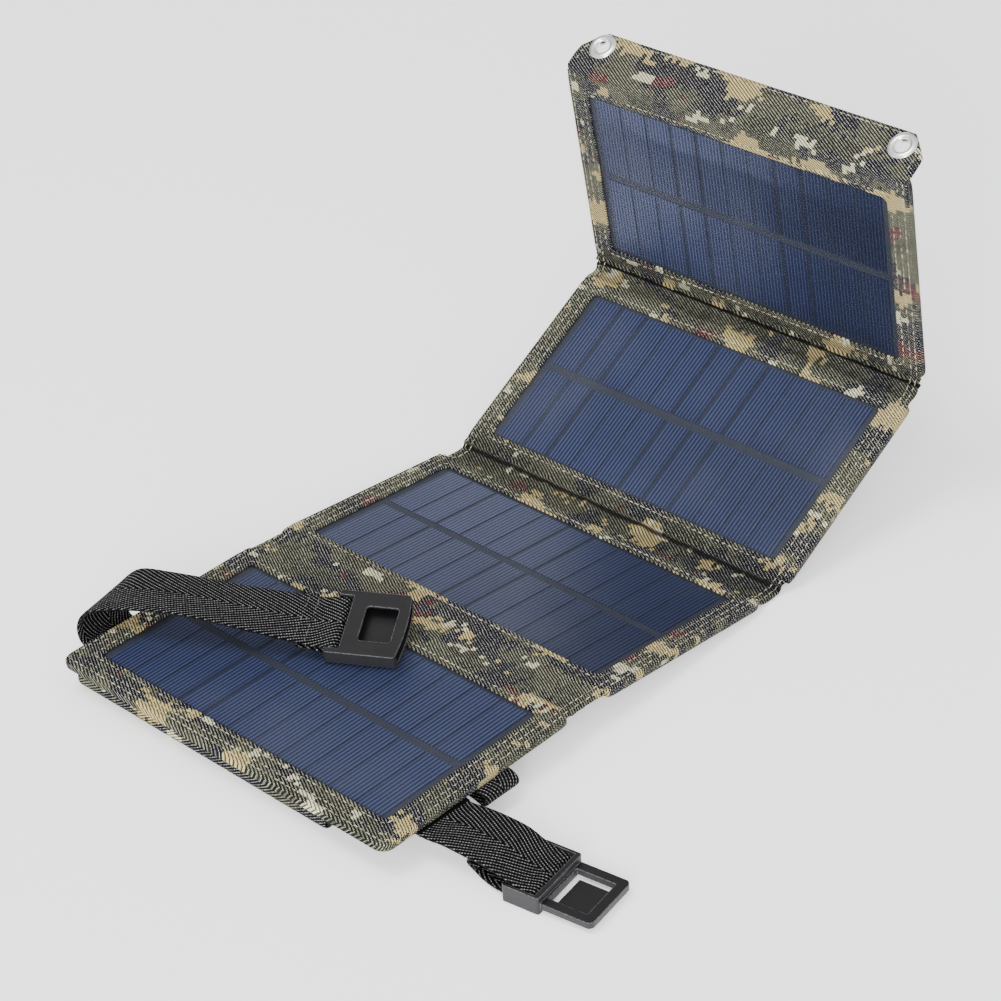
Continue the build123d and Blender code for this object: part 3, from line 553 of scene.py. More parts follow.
def cloth_cover(panel):
    """The front cover: cloth round the window, rolled down at its free edges."""
    first = panel == 0
    low, high = cover_span(panel)
    window_low = NEAR_MARGINS[panel]
    window_high = window_low + WINDOW_DEPTH
    half = PANEL_WIDTH / 2
    free, joined = (5.0, 5.0), (1.0, 4.5)
    inner = outline(WINDOW_WIDTH / 2, window_low, window_high, (2.6, 2.6), (2.6, 2.6))
    outer = outline(half, low, high, free if first else joined, joined)
    is_free = outer[:, 1] < high - 0.3
    if not first:
        is_free &= outer[:, 1] > low + 0.3
    rings, lifts = [], []
    for depth in (FILM_DEPTH, FILM_DEPTH * 0.55, 0.12):
        rings.append(inner + (outer - inner) * (0.004 * (FILM_DEPTH - depth)))
        lifts.append(np.full(len(inner), -depth))
    for share in np.linspace(0.02, 1.0, COVER_RINGS):
        ring = inner + (outer - inner) * share
        from_window = np.linalg.norm(ring - inner, axis=1)
        from_edge = np.linalg.norm(ring - outer, axis=1)
        lift = 0.25 * np.sin(math.pi * share) * is_free
        lift = lift - 0.32 * np.exp(-(((from_window - STITCH_FROM_WINDOW) / 0.55) ** 2))
        for row in OUTER_ROWS:
            lift = lift - 0.30 * np.exp(-(((from_edge - row) / 0.6) ** 2)) * is_free
        fold = np.clip(1 - from_edge / 1.2, 0, 1)
        lift = lift - 0.75 * fold**2 * is_free
        wobble = np.array([ripple(p, 7.0, panel * 9.0) for p in ring])
        lift = lift + 0.16 * wobble * np.minimum(1, from_window / 3) * np.minimum(1, from_edge / 1.5)
        rings.append(ring)
        lifts.append(lift)
    last_flat = len(rings) - 1
    for drop in (0.4, 0.75, 1.0):
        bulge = outer.copy()
        swell = 0.35 * math.sin(math.pi * drop) * is_free
        bulge[:, 0] += np.sign(outer[:, 0]) * swell * (np.abs(outer[:, 0]) > half - 4)
        rings.append(bulge)
        lifts.append(-PANEL_THICKNESS * drop * np.ones(len(outer)) + 0.1)
    uvs = []
    for index, ring in enumerate(rings):
        over = max(0, index - last_flat) * ROLL_STEP
        away = ring - np.array((0.0, (low + high) / 2))
        stretch = 1 + over / np.maximum(np.abs(away).max(1), 1)
        uvs.append(ring * stretch[:, None] + np.array((0.0, chain_starts[panel])))
    made = ringed_sheet(f"cloth_cover_{panel + 1}", panel, rings, lifts, uvs, CAMOUFLAGE)
    dress(made, f"panel_{panel + 1}", f"front_cover_{panel + 1}")


def back_lining(panel):
    """The black lining under a panel, softly waved, with its edge turned up under the cover."""
    low, high = cover_span(panel)
    half = PANEL_WIDTH / 2 - 0.2
    corner = (5.0, 5.0)
    edge = outline(half, low + 0.2, high - 0.2, corner, corner)
    middle = np.array((0.0, (low + high) / 2))
    rings, lifts = [edge], [np.full(len(edge), -2.9)]
    for share in (0.0, 0.02, 0.05, 0.12, 0.25, 0.4, 0.55, 0.7, 0.85, 0.999):
        ring = edge + (middle - edge) * share
        ripples = np.array([ripple(p, 26.0, 50.0 + panel) for p in ring])
        rings.append(ring)
        lifts.append(-3.4 - 0.12 * min(1, share * 20) * ripples)
    uvs = [ring + np.array((0.0, chain_starts[panel])) for ring in rings]
    made = ringed_sheet(f"back_lining_{panel + 1}", panel, rings, lifts, uvs, LINING)
    dress(made, f"panel_{panel + 1}", f"back_cover_{panel + 1}")


# ---------------------------------------------------------------- soft sheets: folds, flap, pocket
SAMPLE = 0.5
EDGE_ROLL = 0.9  # how far in from its side edges a sheet is rounded


def soft_path(knots, softness, settle=(12.0, 12.0)):
    """A (y, z) line through the knots, its bends spread by softness but its first and last millimetres
    kept straight. Returns the distance along it, the places and the unit normals, without those ends."""
    knots = np.array(knots, float)
    marks = marks_along(knots)
    at = np.linspace(0, marks[-1], int(marks[-1] / SAMPLE))
    path = np.stack([np.interp(at, marks, knots[:, axis]) for axis in (0, 1)], 1)
    reach = int(3 * softness / SAMPLE)
    weights = np.exp(-((np.arange(-reach, reach + 1) * SAMPLE / softness) ** 2))
    weights /= weights.sum()
    ends = (np.repeat(path[:1], reach, 0), np.repeat(path[-1:], reach, 0))
    longer = np.concatenate((ends[0], path, ends[1]))
    smooth = np.stack([np.convolve(longer[:, axis], weights, mode="valid") for axis in (0, 1)], 1)
    settled = np.clip((at - settle[0]) / 4, 0, 1) * np.clip((marks[-1] - settle[1] - at) / 4, 0, 1)
    path = path + (smooth - path) * (settled**0.5)[:, None]
    keep = (at >= settle[0] - 0.1) & (at <= marks[-1] - settle[1] + 0.1)
    tangent = np.gradient(path, axis=0)
    tangent /= np.linalg.norm(tangent, axis=1)[:, None]
    normals = np.stack((-tangent[:, 1], tangent[:, 0]), 1)
    return at[keep] - at[keep][0], path[keep], normals[keep]


def soft_sheet(
    name, path, normals, chain, halves, thickness, crumple, looks, middle=0.0, holes=(), count=118, lifts=None
):
    """A cloth sheet with the (y, z) path extruded along x: halves is its half width and crumple the size of
    its wrinkles at each sample. holes is a list of (x, sample, radius) cut through it."""
    columns = np.linspace(-1, 1, count)
    rows = len(chain)
    top, bottom, uvs = [], [], []
    seed = 20.0 + 7.3 * (sum(map(ord, name)) % 17)
    for row in range(rows):
        for number, column in enumerate(columns):
            x = middle + column * halves[row]
            wrinkle = ripple((x, chain[row] * 2.2), 16.0, seed) + 0.5 * ripple((x, chain[row]), 5.0, seed + 9)
            lift = wrinkle * crumple[row] * (0.8 + 0.5 * max(0.0, abs(column) - 0.9) / 0.1)
            if lifts is not None:
                lift += lifts[row][number]
            in_roll = max(0.0, abs(column) * halves[row] - halves[row] + EDGE_ROLL)
            roll = math.copysign(0.5 * in_roll**2, thickness[row])
            top.append((x, *(path[row] + normals[row] * (lift - roll))))
            bottom.append((x, *(path[row] + normals[row] * (lift + roll - thickness[row]))))
            uvs.append((x, chain[row]))
    below = len(top)
    faces, slots, sides = [], [], set()
    for low in grid_faces(rows, count):
        centre_x = sum(uvs[k][0] for k in low) / 4
        centre_s = sum(uvs[k][1] for k in low) / 4
        if any(math.hypot(centre_x - x, centre_s - s) < radius for x, s, radius in holes):
            continue
        faces += [low, tuple(k + below for k in low)[::-1]]
        slots += [0, 1]
        sides.update(zip(low, low[1:] + low[:1]))
    for a, b in sorted(sides):
        if (b, a) not in sides:
            faces.append((b, a, a + below, b + below))
            slots.append(0)
    return mesh_object(name, top + bottom, faces, looks, uvs + uvs, slots)


FOLD_SOFTNESS = (2.6, 1.8, 1.5)  # how far each bend is spread along the cloth
FOLD_ROLLS = (0.5, 1.3, 1.1)  # height of the slack rolls each side of the crease
FOLD_PINCH = (-0.4, 0.2, 1.5)  # how deep the crease is drawn in

CLOTH_SCALE = 0.01  # metres for each millimetre in the simulation, which behaves better at ten times size
CLOTH_SLACK = 0.045
CLOTH_FRAMES = 18
MOST_MOVE = 1.5
COARSE = (3, 3)  # every third row and column of a sheet takes part


def settle_cloth(points, rows, columns):
    """Simulates a grid of cloth, held along its first and last two rows and a little too long between them.
    Returns where its points come to lie."""
    mesh = bpy.data.meshes.new("settling")
    mesh.from_pydata([tuple(p) for p in points * CLOTH_SCALE], [], grid_faces(rows, columns))
    cloth = bpy.data.objects.new("settling", mesh)
    bpy.context.scene.collection.objects.link(cloth)
    held = cloth.vertex_groups.new(name="held")
    held.add(list(range(2 * columns)) + list(range((rows - 2) * columns, rows * columns)), 1.0, "REPLACE")
    modifier = cloth.modifiers.new("cloth", "CLOTH")
    modifier.settings.vertex_group_mass = "held"
    modifier.settings.shrink_min = -CLOTH_SLACK
    modifier.settings.quality = 7
    modifier.settings.bending_stiffness = 0.3
    modifier.collision_settings.use_collision = False
    modifier.point_cache.frame_end = CLOTH_FRAMES
    for number in range(1, CLOTH_FRAMES + 1):
        bpy.context.scene.frame_set(number)
    settled = cloth.evaluated_get(bpy.context.evaluated_depsgraph_get())
    places = np.array([tuple(vertex.co) for vertex in settled.data.vertices]) / CLOTH_SCALE
    bpy.data.objects.remove(cloth)
    bpy.context.scene.frame_set(1)
    return places


def settled_lifts(path, normals, halves, count):
    """How far each point of a sheet is lifted along its normal once the cloth has settled, row by row."""
    some_rows = np.unique(np.append(np.arange(0, len(path), COARSE[0]), len(path) - 1))
    some_columns = np.linspace(-1, 1, count)[:: COARSE[1]]
    start = np.array([(x * halves[row], *path[row]) for row in some_rows for x in some_columns])
    moved = settle_cloth(start, len(some_rows), len(some_columns)) - start
    along_normal = np.sum(moved.reshape(len(some_rows), -1, 3)[:, :, 1:] * normals[some_rows][:, None], 2)
    along_normal = MOST_MOVE * np.tanh(along_normal / MOST_MOVE)
    columns = np.linspace(-1, 1, count)
    wide = np.array([np.interp(columns, some_columns, row) for row in along_normal])
    return np.array([np.interp(np.arange(len(path)), some_rows, column) for column in wide.T]).T


def fold_path(fold):
    """The cloth's top across a fold, with its distance along the whole row of panels."""
    angle, after = PANEL_ANGLES[fold], PANEL_ANGLES[fold + 1]
    start = cover_span(fold)[1]
    end = cover_span(fold + 1)[0]
    lift = STRIP_LIFTS[fold]
    crease = creases[fold + 1]
    knots = [
        creases[fold] + heading(angle) * (start - 12),
        creases[fold] + heading(angle) * (start + 0.4),
        creases[fold] + heading(angle) * (start + 3.2) + outward(angle) * lift,
        crease + (outward(angle) + outward(after)) * lift / 2,
        crease + heading(after) * (end - 3.2) + outward(after) * lift,
        crease + heading(after) * (end - 0.4),
        crease + heading(after) * (end + 12),
    ]
    along, path, normals = soft_path([knot[1:] for knot in knots], FOLD_SOFTNESS[fold])
    drawn_crease = (crease + outward((angle + after) / 2) * lift)[1:]
    middle = along[np.argmin(np.linalg.norm(path - drawn_crease, axis=1))]
    off = along - middle
    reach = min(middle, along[-1] - middle)
    lifts = sum(np.exp(-(((off - side * reach * 0.45) / (reach * 0.27)) ** 2)) for side in (-1, 1))
    lifts = lifts * FOLD_ROLLS[fold] - FOLD_PINCH[fold] * np.exp(-((off / 1.2) ** 2))
    lifts = lifts * np.clip(along / 2, 0, 1) * np.clip((along[-1] - along) / 2, 0, 1)
    path = path + normals * lifts[:, None]
    chain = chain_starts[fold] + start + along / along[-1] * (lengths[fold] - start + end)
    return chain, path, normals


FOLD_HALF = 87.3
FOLD_COLUMNS = 118
LOWEST_FOLD = 1
FOLD_CLEARANCE = 0.45  # height kept between the lowest fold and the ground, for its wrinkles
fold_lifts = {}


def blend_over_fold(piece):
    """Bakes a piece's transform into its mesh."""
    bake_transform(piece)


def cloth_fold(fold):
    """Soft cloth from one panel's border to the next: camouflage above, lining below."""
    chain, path, normals = fold_path(fold)
    inside = np.sin(np.pi * np.linspace(0, 1, len(chain)))
    name = f"{fold + 1}{fold + 2}"
    halves = FOLD_HALF - 0.5 * inside
    lifts = settled_lifts(path, normals, halves, FOLD_COLUMNS)
    above_ground = FOLD_CLEARANCE + STRIP_THICKNESS - path[:, 1]
    least = np.clip(above_ground / np.maximum(normals[:, 1], 0.5), -MOST_MOVE, MOST_MOVE) * inside
    fold_lifts[fold] = np.maximum(lifts, least[:, None]) if fold == LOWEST_FOLD else lifts
    made = soft_sheet(
        f"cloth_fold_{name}", path, normals, chain, halves,
        np.full(len(chain), STRIP_THICKNESS - 0.15), 0.4 * inside, [CAMOUFLAGE, LINING],
        count=FOLD_COLUMNS, lifts=fold_lifts[fold],
    )
    blend_over_fold(made)
    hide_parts(f"fold_strip_{name}_near", f"fold_strip_{name}_far")


EYELET_X = 77.0
EYELET_Y = 12.5
EYELET_HOLE = 4.5  # radius of the hole in the cloth, out of sight under the metal
FLAP_CORNER = 9.0
ROOT_SAMPLES = 6  # how many samples the flap narrows over, where it leaves the panel
ROOT_WAIST = 1.4


def on_flap(y, lift):
    """A place (y, z) on the flap, y past its hinge and lifted off its middle."""
    return (FLAP_HINGE + heading(FLAP_ANGLE) * y + outward(FLAP_ANGLE) * lift)[1:]


flap_rise = FLAP_THICKNESS / 2
flap_knots = [
    (creases[3] + heading(PANEL_ANGLES[3]) * (lengths[3] - 6))[1:],
    (creases[3] + heading(PANEL_ANGLES[3]) * (lengths[3] + 1.0))[1:],
    on_flap(-0.3, flap_rise + 0.1),
    on_flap(FLAP_LENGTH - 0.4, flap_rise),
    on_flap(FLAP_LENGTH + 5.6, flap_rise),
]
flap_along, flap_path, flap_normals = soft_path(flap_knots, 1.6, (6.0, 6.0))
flap_far = FLAP_LENGTH - (flap_along[-1] - flap_along)  # past the hinge


def flap_half(far):
    """Half width of the flap at a distance past its hinge, with its cut corners."""
    cut = max(0.0, far - (FLAP_LENGTH - FLAP_CORNER))
    soft = 1.6 * math.exp(-(((far - (FLAP_LENGTH - FLAP_CORNER)) / 2.5) ** 2))
    return PANEL_WIDTH / 2 - cut - 0.25 * soft


def cloth_flap():
    halves = np.array([flap_half(far) for far in flap_far])
    halves[:ROOT_SAMPLES] -= np.linspace(ROOT_WAIST, 0, ROOT_SAMPLES)
    thickness = np.interp(flap_far, (-2, 2, 18.6, 19.6, 20), (0.9, 1.8, 1.8, 1.3, 0.5))
    ease = np.interp(flap_far, (19.0, 20.0), (0.0, 0.55))
    crumple = 0.32 * np.clip((flap_far + 2) / 5, 0, 1)
    chain = chain_starts[3] + lengths[3] + flap_along
    holes = [(side * EYELET_X, chain[-1] - (FLAP_LENGTH - EYELET_Y), EYELET_HOLE) for side in (-1, 1)]
    made = soft_sheet(
        "cloth_flap", flap_path - flap_normals * ease[:, None], flap_normals, chain, halves, thickness,
        crumple, [CAMOUFLAGE, LINING], holes=holes, count=150,
    )
    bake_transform(made)
    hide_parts("eyelet_flap")


def lathe(name, profile, place, axis, look, body, node):
    """A ring that rides on a body, turned about an axis from its (radius, height) profile."""
    steps_around = 64
    turn = axis.to_track_quat("Z", "Y").to_matrix()
    points = []
    for radius, height in profile:
        for angle in np.linspace(0, 2 * math.pi, steps_around, endpoint=False):
            spoke = Vector((radius * math.cos(angle), radius * math.sin(angle), height))
            points.append(Vector(place) + turn @ spoke)
    faces = [face[::-1] for face in grid_faces(len(profile), steps_around, around=True)]
    made = mesh_object(name, points, faces, [look])
    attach(made, body)
    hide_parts(node)
    return made


EYELET_PROFILE = (
    (5.9, 0.75), (6.25, 0.95), (6.2, 1.15), (5.8, 1.45), (5.1, 1.75), (4.3, 1.80), (3.6, 1.60),
    (3.15, 1.15), (3.0, 0.5), (3.0, -1.2), (3.2, -1.5), (3.6, -1.6),
)


def eyelets():
    for side, word in ((-1, "left"), (1, "right")):
        place = FLAP_HINGE + heading(FLAP_ANGLE) * EYELET_Y + np.array((side * EYELET_X, 0, 0))
        axis = Vector(outward(FLAP_ANGLE))
        ring = lathe(f"eyelet_{word}", EYELET_PROFILE, place, axis, EYELET, "flap", "eyelets")


POCKET = (-86.0, 52.0)
POCKET_FRONT = -44.8
POCKET_BACK = 38.0
UNDERSIDE = 11.376
POCKET_CLOTH = 0.9


def pocket():
    """Floor and walls of the pocket, and its flap, all a little slack."""
    middle, half = sum(POCKET) / 2, (POCKET[1] - POCKET[0]) / 2
    floor_knots = [
        (POCKET_FRONT + 0.2, 2.9), (-22.4, 2.9), (-20.2, 1.0), (POCKET_BACK - 2.0, 1.0),
        (POCKET_BACK - 0.1, 2.0), (POCKET_BACK - 0.1, UNDERSIDE - 0.1),
    ]
    along, path, normals = soft_path(floor_knots, 1.2, (0.0, 0.0))
    rows = len(along)
    inside = np.sin(np.pi * np.linspace(0.02, 0.98, rows))
    floor_sheet = soft_sheet(
        "pocket_floor", path, normals, along + 60.0, np.full(rows, half - 0.2), np.full(rows, POCKET_CLOTH),
        0.12 * inside, [LINING, CAMOUFLAGE], middle=middle, count=90,
    )
    dress(floor_sheet, "panel_1", "pocket_shell")
    for side, x in (("left", POCKET[0]), ("right", POCKET[1])):
        points, uvs = [], []
        way = -1 if side == "left" else 1
        levels = np.linspace(0.0, 1.0, 14)
        lengthwise = np.linspace(POCKET_FRONT + 0.1, POCKET_BACK, 70)
        for skin in (0, 1):
            for level in levels:
                for y in lengthwise:
                    slack = math.sin(math.pi * level) * (0.7 + 0.6 * ripple((y, level * 9), 14.0, 5.0 + way))
                    out = slack - (POCKET_CLOTH if skin else 0.0)
                    low = 0.15 if y > -21.0 else 2.2
                    points.append((x + way * out, y, low + level * (UNDERSIDE - low - 0.1)))
                    uvs.append((y + 200.0 * way, level * 11.0))
        size = len(levels) * len(lengthwise)
        outer = grid_faces(len(levels), len(lengthwise))
        if side == "left":
            outer = [face[::-1] for face in outer]
        faces = outer + [tuple(k + size for k in face)[::-1] for face in outer]
        wall = mesh_object(f"pocket_wall_{side}", points, faces, [CAMOUFLAGE], uvs)
        dress(wall, "panel_1", "pocket_shell")
    front = POCKET_FRONT - 1.0
    flap_line = [
        (front + 0.1, UNDERSIDE - 0.3), (front + 0.1, 6.0), (front, 0.6), (front + 1.4, 0.0), (-22.2, 0.0),
    ]
    along, path, normals = soft_path(flap_line, 0.9, (0.0, 0.0))
    rows = len(along)
    # Only the lower half bulges: the upper half passes close under the panel's border when it opens.
    slack = np.sin(np.pi * np.clip((along - 5.6) / 5.4, 0, 1))
    made = soft_sheet(
        "pocket_cover_cloth", path - normals * 0.4 * slack[:, None], normals, along + 520.0,
        np.full(rows, half), np.full(rows, -POCKET_CLOTH), 0.25 * slack,
        [CAMOUFLAGE, LINING], middle=middle, count=100,
    )
    dress(made, "pocket_cover", "pocket_flap")


# ---------------------------------------------------------------- sewing
STITCH_PITCH = 3.1
STITCH_LENGTH = 2.2
THREAD_RADIUS = 0.18


def stitch_row(points, normals):
    """Cut positions for one row of stitches: (start, end, normal) triples along a line of points."""
    points, normals = np.asarray(points, float), np.asarray(normals, float)
    marks = marks_along(points)
    count = max(1, int(round(marks[-1] / STITCH_PITCH)))
    pitch = marks[-1] / count
    row = []
    for index in range(count):
        low = index * pitch + (pitch - STITCH_LENGTH) / 2
        ends = [
            np.array([np.interp(mark, marks, points[:, axis]) for axis in range(3)])
            for mark in (low, low + STITCH_LENGTH)
        ]
        middle = low + STITCH_LENGTH / 2
        normal = np.array([np.interp(middle, marks, normals[:, axis]) for axis in range(3)])
        row.append((*ends, normal / np.linalg.norm(normal)))
    return row


def stitches(name, rows, look):
    """One mesh of all the stitches in the rows: short bowed threads that dive into the cloth at both ends."""
    shape = ((-0.02, -0.28, 0.6), (0.12, 0.02, 1.0), (0.5, 0.16, 1.1), (0.88, 0.02, 1.0), (1.02, -0.28, 0.6))
    points, faces = [], []
    for number, (start, end, normal) in enumerate(stitch for row in rows for stitch in row):
        slant = 0.16 * math.sin(number * 2.4)
        ahead = end - start
        beside = np.cross(normal, ahead / np.linalg.norm(ahead))
        first = len(points)
        for share, rise, girth in shape:
            centre = start + ahead * share + normal * rise + beside * slant * (share - 0.5)
            for turn in range(6):
                angle = math.pi * turn / 3
                around = beside * math.cos(angle) + normal * math.sin(angle)
                points.append(centre + around * THREAD_RADIUS * girth)
        faces += grid_faces(len(shape), 6, around=True, offset=first)
    return mesh_object(name, points, faces, [look])


def panel_line(panel, xs, ss, lift=0.0):
    """Places and normals along a line of (x, s) on a panel's face."""
    places = on_panel(panel, np.asarray(xs, float), np.asarray(ss, float), lift)
    return places, np.repeat(outward(PANEL_ANGLES[panel])[None], len(places), 0)


def sew_panel(panel):
    """A row round the window, and rows along the free edges."""
    low, high = cover_span(panel)
    window_low = NEAR_MARGINS[panel]
    out = STITCH_FROM_WINDOW
    ring = outline(
        WINDOW_WIDTH / 2 + out, window_low - out, window_low + WINDOW_DEPTH + out, (3.5, 3.5), (3.5, 3.5)
    )
    ring = np.concatenate((ring, ring[:1]))
    rows = [stitch_row(*panel_line(panel, ring[:, 0], ring[:, 1], -0.12))]
    for inset in OUTER_ROWS:
        x = PANEL_WIDTH / 2 - inset
        start = low + inset if panel == 0 else low
        for side in (-1, 1):
            ends = np.linspace(start, high, 40)
            rows.append(stitch_row(*panel_line(panel, np.full(len(ends), side * x), ends, -0.05)))
        if panel == 0:
            across = np.linspace(-x, x, 60)
            rows.append(stitch_row(*panel_line(panel, across, np.full(len(across), inset), -0.05)))
    made = stitches(f"stitches_panel_{panel + 1}", rows, THREAD)
    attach(made, f"panel_{panel + 1}")


def sew_fold(fold):
    """The edge rows where they cross a fold."""
    chain, path, normals = fold_path(fold)
    inside = np.sin(np.pi * np.linspace(0, 1, len(chain)))
    rows = []
    for inset in OUTER_ROWS:
        for side in (-1, 1):
            x = side * (PANEL_WIDTH / 2 - inset - 0.9 * inside)
            across = np.linspace(-FOLD_HALF, FOLD_HALF, FOLD_COLUMNS)
            rise = 0.25 + np.array([np.interp(at, across, row) for at, row in zip(x, fold_lifts[fold])])
            places = np.column_stack((x, path + normals * rise[:, None]))
            upright = np.column_stack((np.zeros(len(path)), normals))
            rows.append(stitch_row(places, upright))
    made = stitches(f"stitches_fold_{fold + 1}{fold + 2}", rows, THREAD)
    blend_over_fold(made)


def sew_flap():
    """A row round the flap's free edge."""
    inset, corner = 2.4, PANEL_WIDTH / 2 - FLAP_CORNER
    turn = FLAP_LENGTH - FLAP_CORNER
    line = [(corner + 8.6 - inset, 3.0), (corner + 8.6 - inset, turn - 1), (corner - 1, FLAP_LENGTH - inset)]
    line += [(-x, y) for x, y in line[::-1]]
    fine = []
    for first, second in zip(line, line[1:]):
        fine += [tuple(np.array(first) + (np.array(second) - first) * t) for t in np.linspace(0, 1, 30)[:-1]]
    fine.append(line[-1])
    places = [(x, *on_flap(y, flap_rise + 0.15)) for x, y in fine]
    upright = np.repeat(outward(FLAP_ANGLE)[None], len(places), 0)
    made = stitches("stitches_flap", [stitch_row(places, upright)], THREAD)
    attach(made, "flap")


for panel in range(4):
    cloth_cover(panel)
    back_lining(panel)
for fold in range(3):
    cloth_fold(fold)
cloth_flap()
eyelets()
pocket()
for panel in range(4):
    sew_panel(panel)
for fold in range(3):
    sew_fold(fold)
sew_flap()


# ---------------------------------------------------------------- webbing ribbons
WEBBING_THICKNESS = 1.4


def ribbon_section(width, thickness):
    """A webbing's section as (across, up) points, thinner at its selvedges."""
    half, high = width / 2, thickness / 2
    across = np.array((-1.0, -0.97, -0.9, -0.75, -0.5, -0.25, 0, 0.25, 0.5, 0.75, 0.9, 0.97, 1.0)) * half
    up = np.array((0.45, 0.8, 0.95, 1, 1, 1, 1, 1, 1, 1, 0.95, 0.8, 0.45)) * high
    top = np.stack((across, up), 1)
    bottom = np.stack((across[::-1], -up[::-1]), 1)
    return np.concatenate((top, bottom))


def smooth_stations(stations, step=0.8):
    """Points (x, y, z, yaw, tilt) close together on a smooth curve through the stations."""
    stations = np.array(stations, float)
    ends = (2 * stations[0] - stations[1], 2 * stations[-1] - stations[-2])
    padded = np.concatenate(([ends[0]], stations, [ends[1]]))
    made = []
    for index in range(len(stations) - 1):
        p = padded[index : index + 4]
        gaps = np.maximum(np.linalg.norm(np.diff(p[:, :3], axis=0), axis=1), 1e-6) ** 0.5
        k = np.concatenate(([0.0], np.cumsum(gaps)))
        count = max(2, int(gaps[1] ** 2 / step))
        for t in np.linspace(k[1], k[2], count, endpoint=False):
            first = [(p[i] * (k[i + 1] - t) + p[i + 1] * (t - k[i])) / (k[i + 1] - k[i]) for i in range(3)]
            second = [
                (first[i] * (k[i + 2] - t) + first[i + 1] * (t - k[i])) / (k[i + 2] - k[i]) for i in range(2)
            ]
            made.append((second[0] * (k[2] - t) + second[1] * (t - k[1])) / (k[2] - k[1]))
    made.append(stations[-1])
    return np.array(made)


def width_way(yaw, tilt):
    """The way the webbing's width points, from angles in degrees: +Y tilted about X, then yawed about Z."""
    turned = Matrix.Rotation(math.radians(yaw), 3, "Z") @ Matrix.Rotation(math.radians(tilt), 3, "X")
    return turned @ Vector((0, 1, 0))


def ribbon(name, stations, width=WEBBING_WIDTH, thickness=WEBBING_THICKNESS, step=0.8):
    """Webbing along stations of (x, y, z, yaw, tilt)."""
    path = smooth_stations(stations, step)
    section = ribbon_section(width, thickness)
    tangent = np.gradient(path[:, :3], axis=0)
    marks = marks_along(path[:, :3])
    points, uvs = [], []
    for row, station in enumerate(path):
        across = width_way(station[3], station[4])
        ahead = Vector(tangent[row])
        ahead = (ahead - across * ahead.dot(across)).normalized()
        up = ahead.cross(across)
        for u, rise in section:
            sag = 0.12 * ripple((marks[row], u), 9.0, 3.0)
            points.append(Vector(station[:3]) + across * u + up * (rise + sag))
            uvs.append((u + (60 if rise < 0 else 0), marks[row]))
    size = len(section)
    faces = grid_faces(len(path), size, around=True)
    faces.append(tuple(range(size))[::-1])
    faces.append(tuple((len(path) - 1) * size + k for k in range(size)))
    made = mesh_object(name, points, faces, [WEBBING], uvs)
    return made


STRAP_Y = -22.0
STRAP_STEP = 0.7
STRAP_HEIGHT = UNDERSIDE - WEBBING_THICKNESS / 2
LEFT_HINGE = (-95.0, UNDERSIDE - 4.6)
SOCKET_BAR = Vector((-11.5, 25.1, FACE_HEIGHT + 7.4))
SOCKET_YAW = 30.0
SOCKET_TILT = 15.0
left_stations = [
    (-84.0, STRAP_Y, STRAP_HEIGHT - 0.1, 0, 0),
    (-90.5, STRAP_Y, STRAP_HEIGHT - 1.1, 0, 0),
    (-95.2, STRAP_Y, LEFT_HINGE[1] + 1.7, 0, 0),
    (-97.4, STRAP_Y, FACE_HEIGHT - 4.0, 0, 0),
    (-97.8, -21.8, FACE_HEIGHT + 2.4, 2, 2),
    (-95.4, -20.4, FACE_HEIGHT + 8.6, 6, 6),
    (-89.0, -17.3, FACE_HEIGHT + 12.9, 12, 10),
    (-76.0, -11.4, FACE_HEIGHT + 14.9, 20, 4),
    (-60.0, -2.8, FACE_HEIGHT + 14.2, 26, 1),
    (-38.0, 9.0, FACE_HEIGHT + 11.5, 28, 5),
    (-24.0, 17.5, FACE_HEIGHT + 9.4, 29, 11),
]
TURN_RADIUS = 1.0 + 0.25 + WEBBING_THICKNESS / 2  # the bar, a little air and half the webbing
TURN_STATIONS = 9


def level_way(yaw):
    """The way webbing runs at a yaw in degrees, when it doesn't climb."""
    return Vector((math.cos(math.radians(yaw)), math.sin(math.radians(yaw)), 0))


def bar_turn(bar, yaw, tilt):
    """Stations on the half turn over a buckle bar and back under it."""
    ahead = level_way(yaw)
    up = ahead.cross(width_way(yaw, tilt))
    stations = []
    for turn in np.radians(np.linspace(90, -90, TURN_STATIONS)):
        place = bar + ahead * (TURN_RADIUS * math.cos(turn)) + up * (TURN_RADIUS * math.sin(turn))
        stations.append((*place, yaw, tilt))
    return stations


# The strap goes over the bar, turns back under it and is sewn to itself behind the buckle.
ahead = level_way(SOCKET_YAW)
above = ahead.cross(width_way(SOCKET_YAW, SOCKET_TILT))


def behind_bar(distance, height, yaw, tilt):
    """A station behind the socket's bar."""
    return (*(SOCKET_BAR - ahead * distance + above * height), yaw, tilt)


over_bar = bar_turn(SOCKET_BAR, SOCKET_YAW, SOCKET_TILT)
approach = [behind_bar(8, 1.1, 29.5, 13), behind_bar(3.5, 1.7, 30, 15)]
back = [behind_bar(3.5, -1.5, 30, 15), behind_bar(8, -0.9, 29.5, 13), behind_bar(14, -0.75, 29, 11)]
left_ribbon = ribbon("left_webbing", left_stations + approach + over_bar + back, step=STRAP_STEP)
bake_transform(left_ribbon)
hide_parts("left_strap")

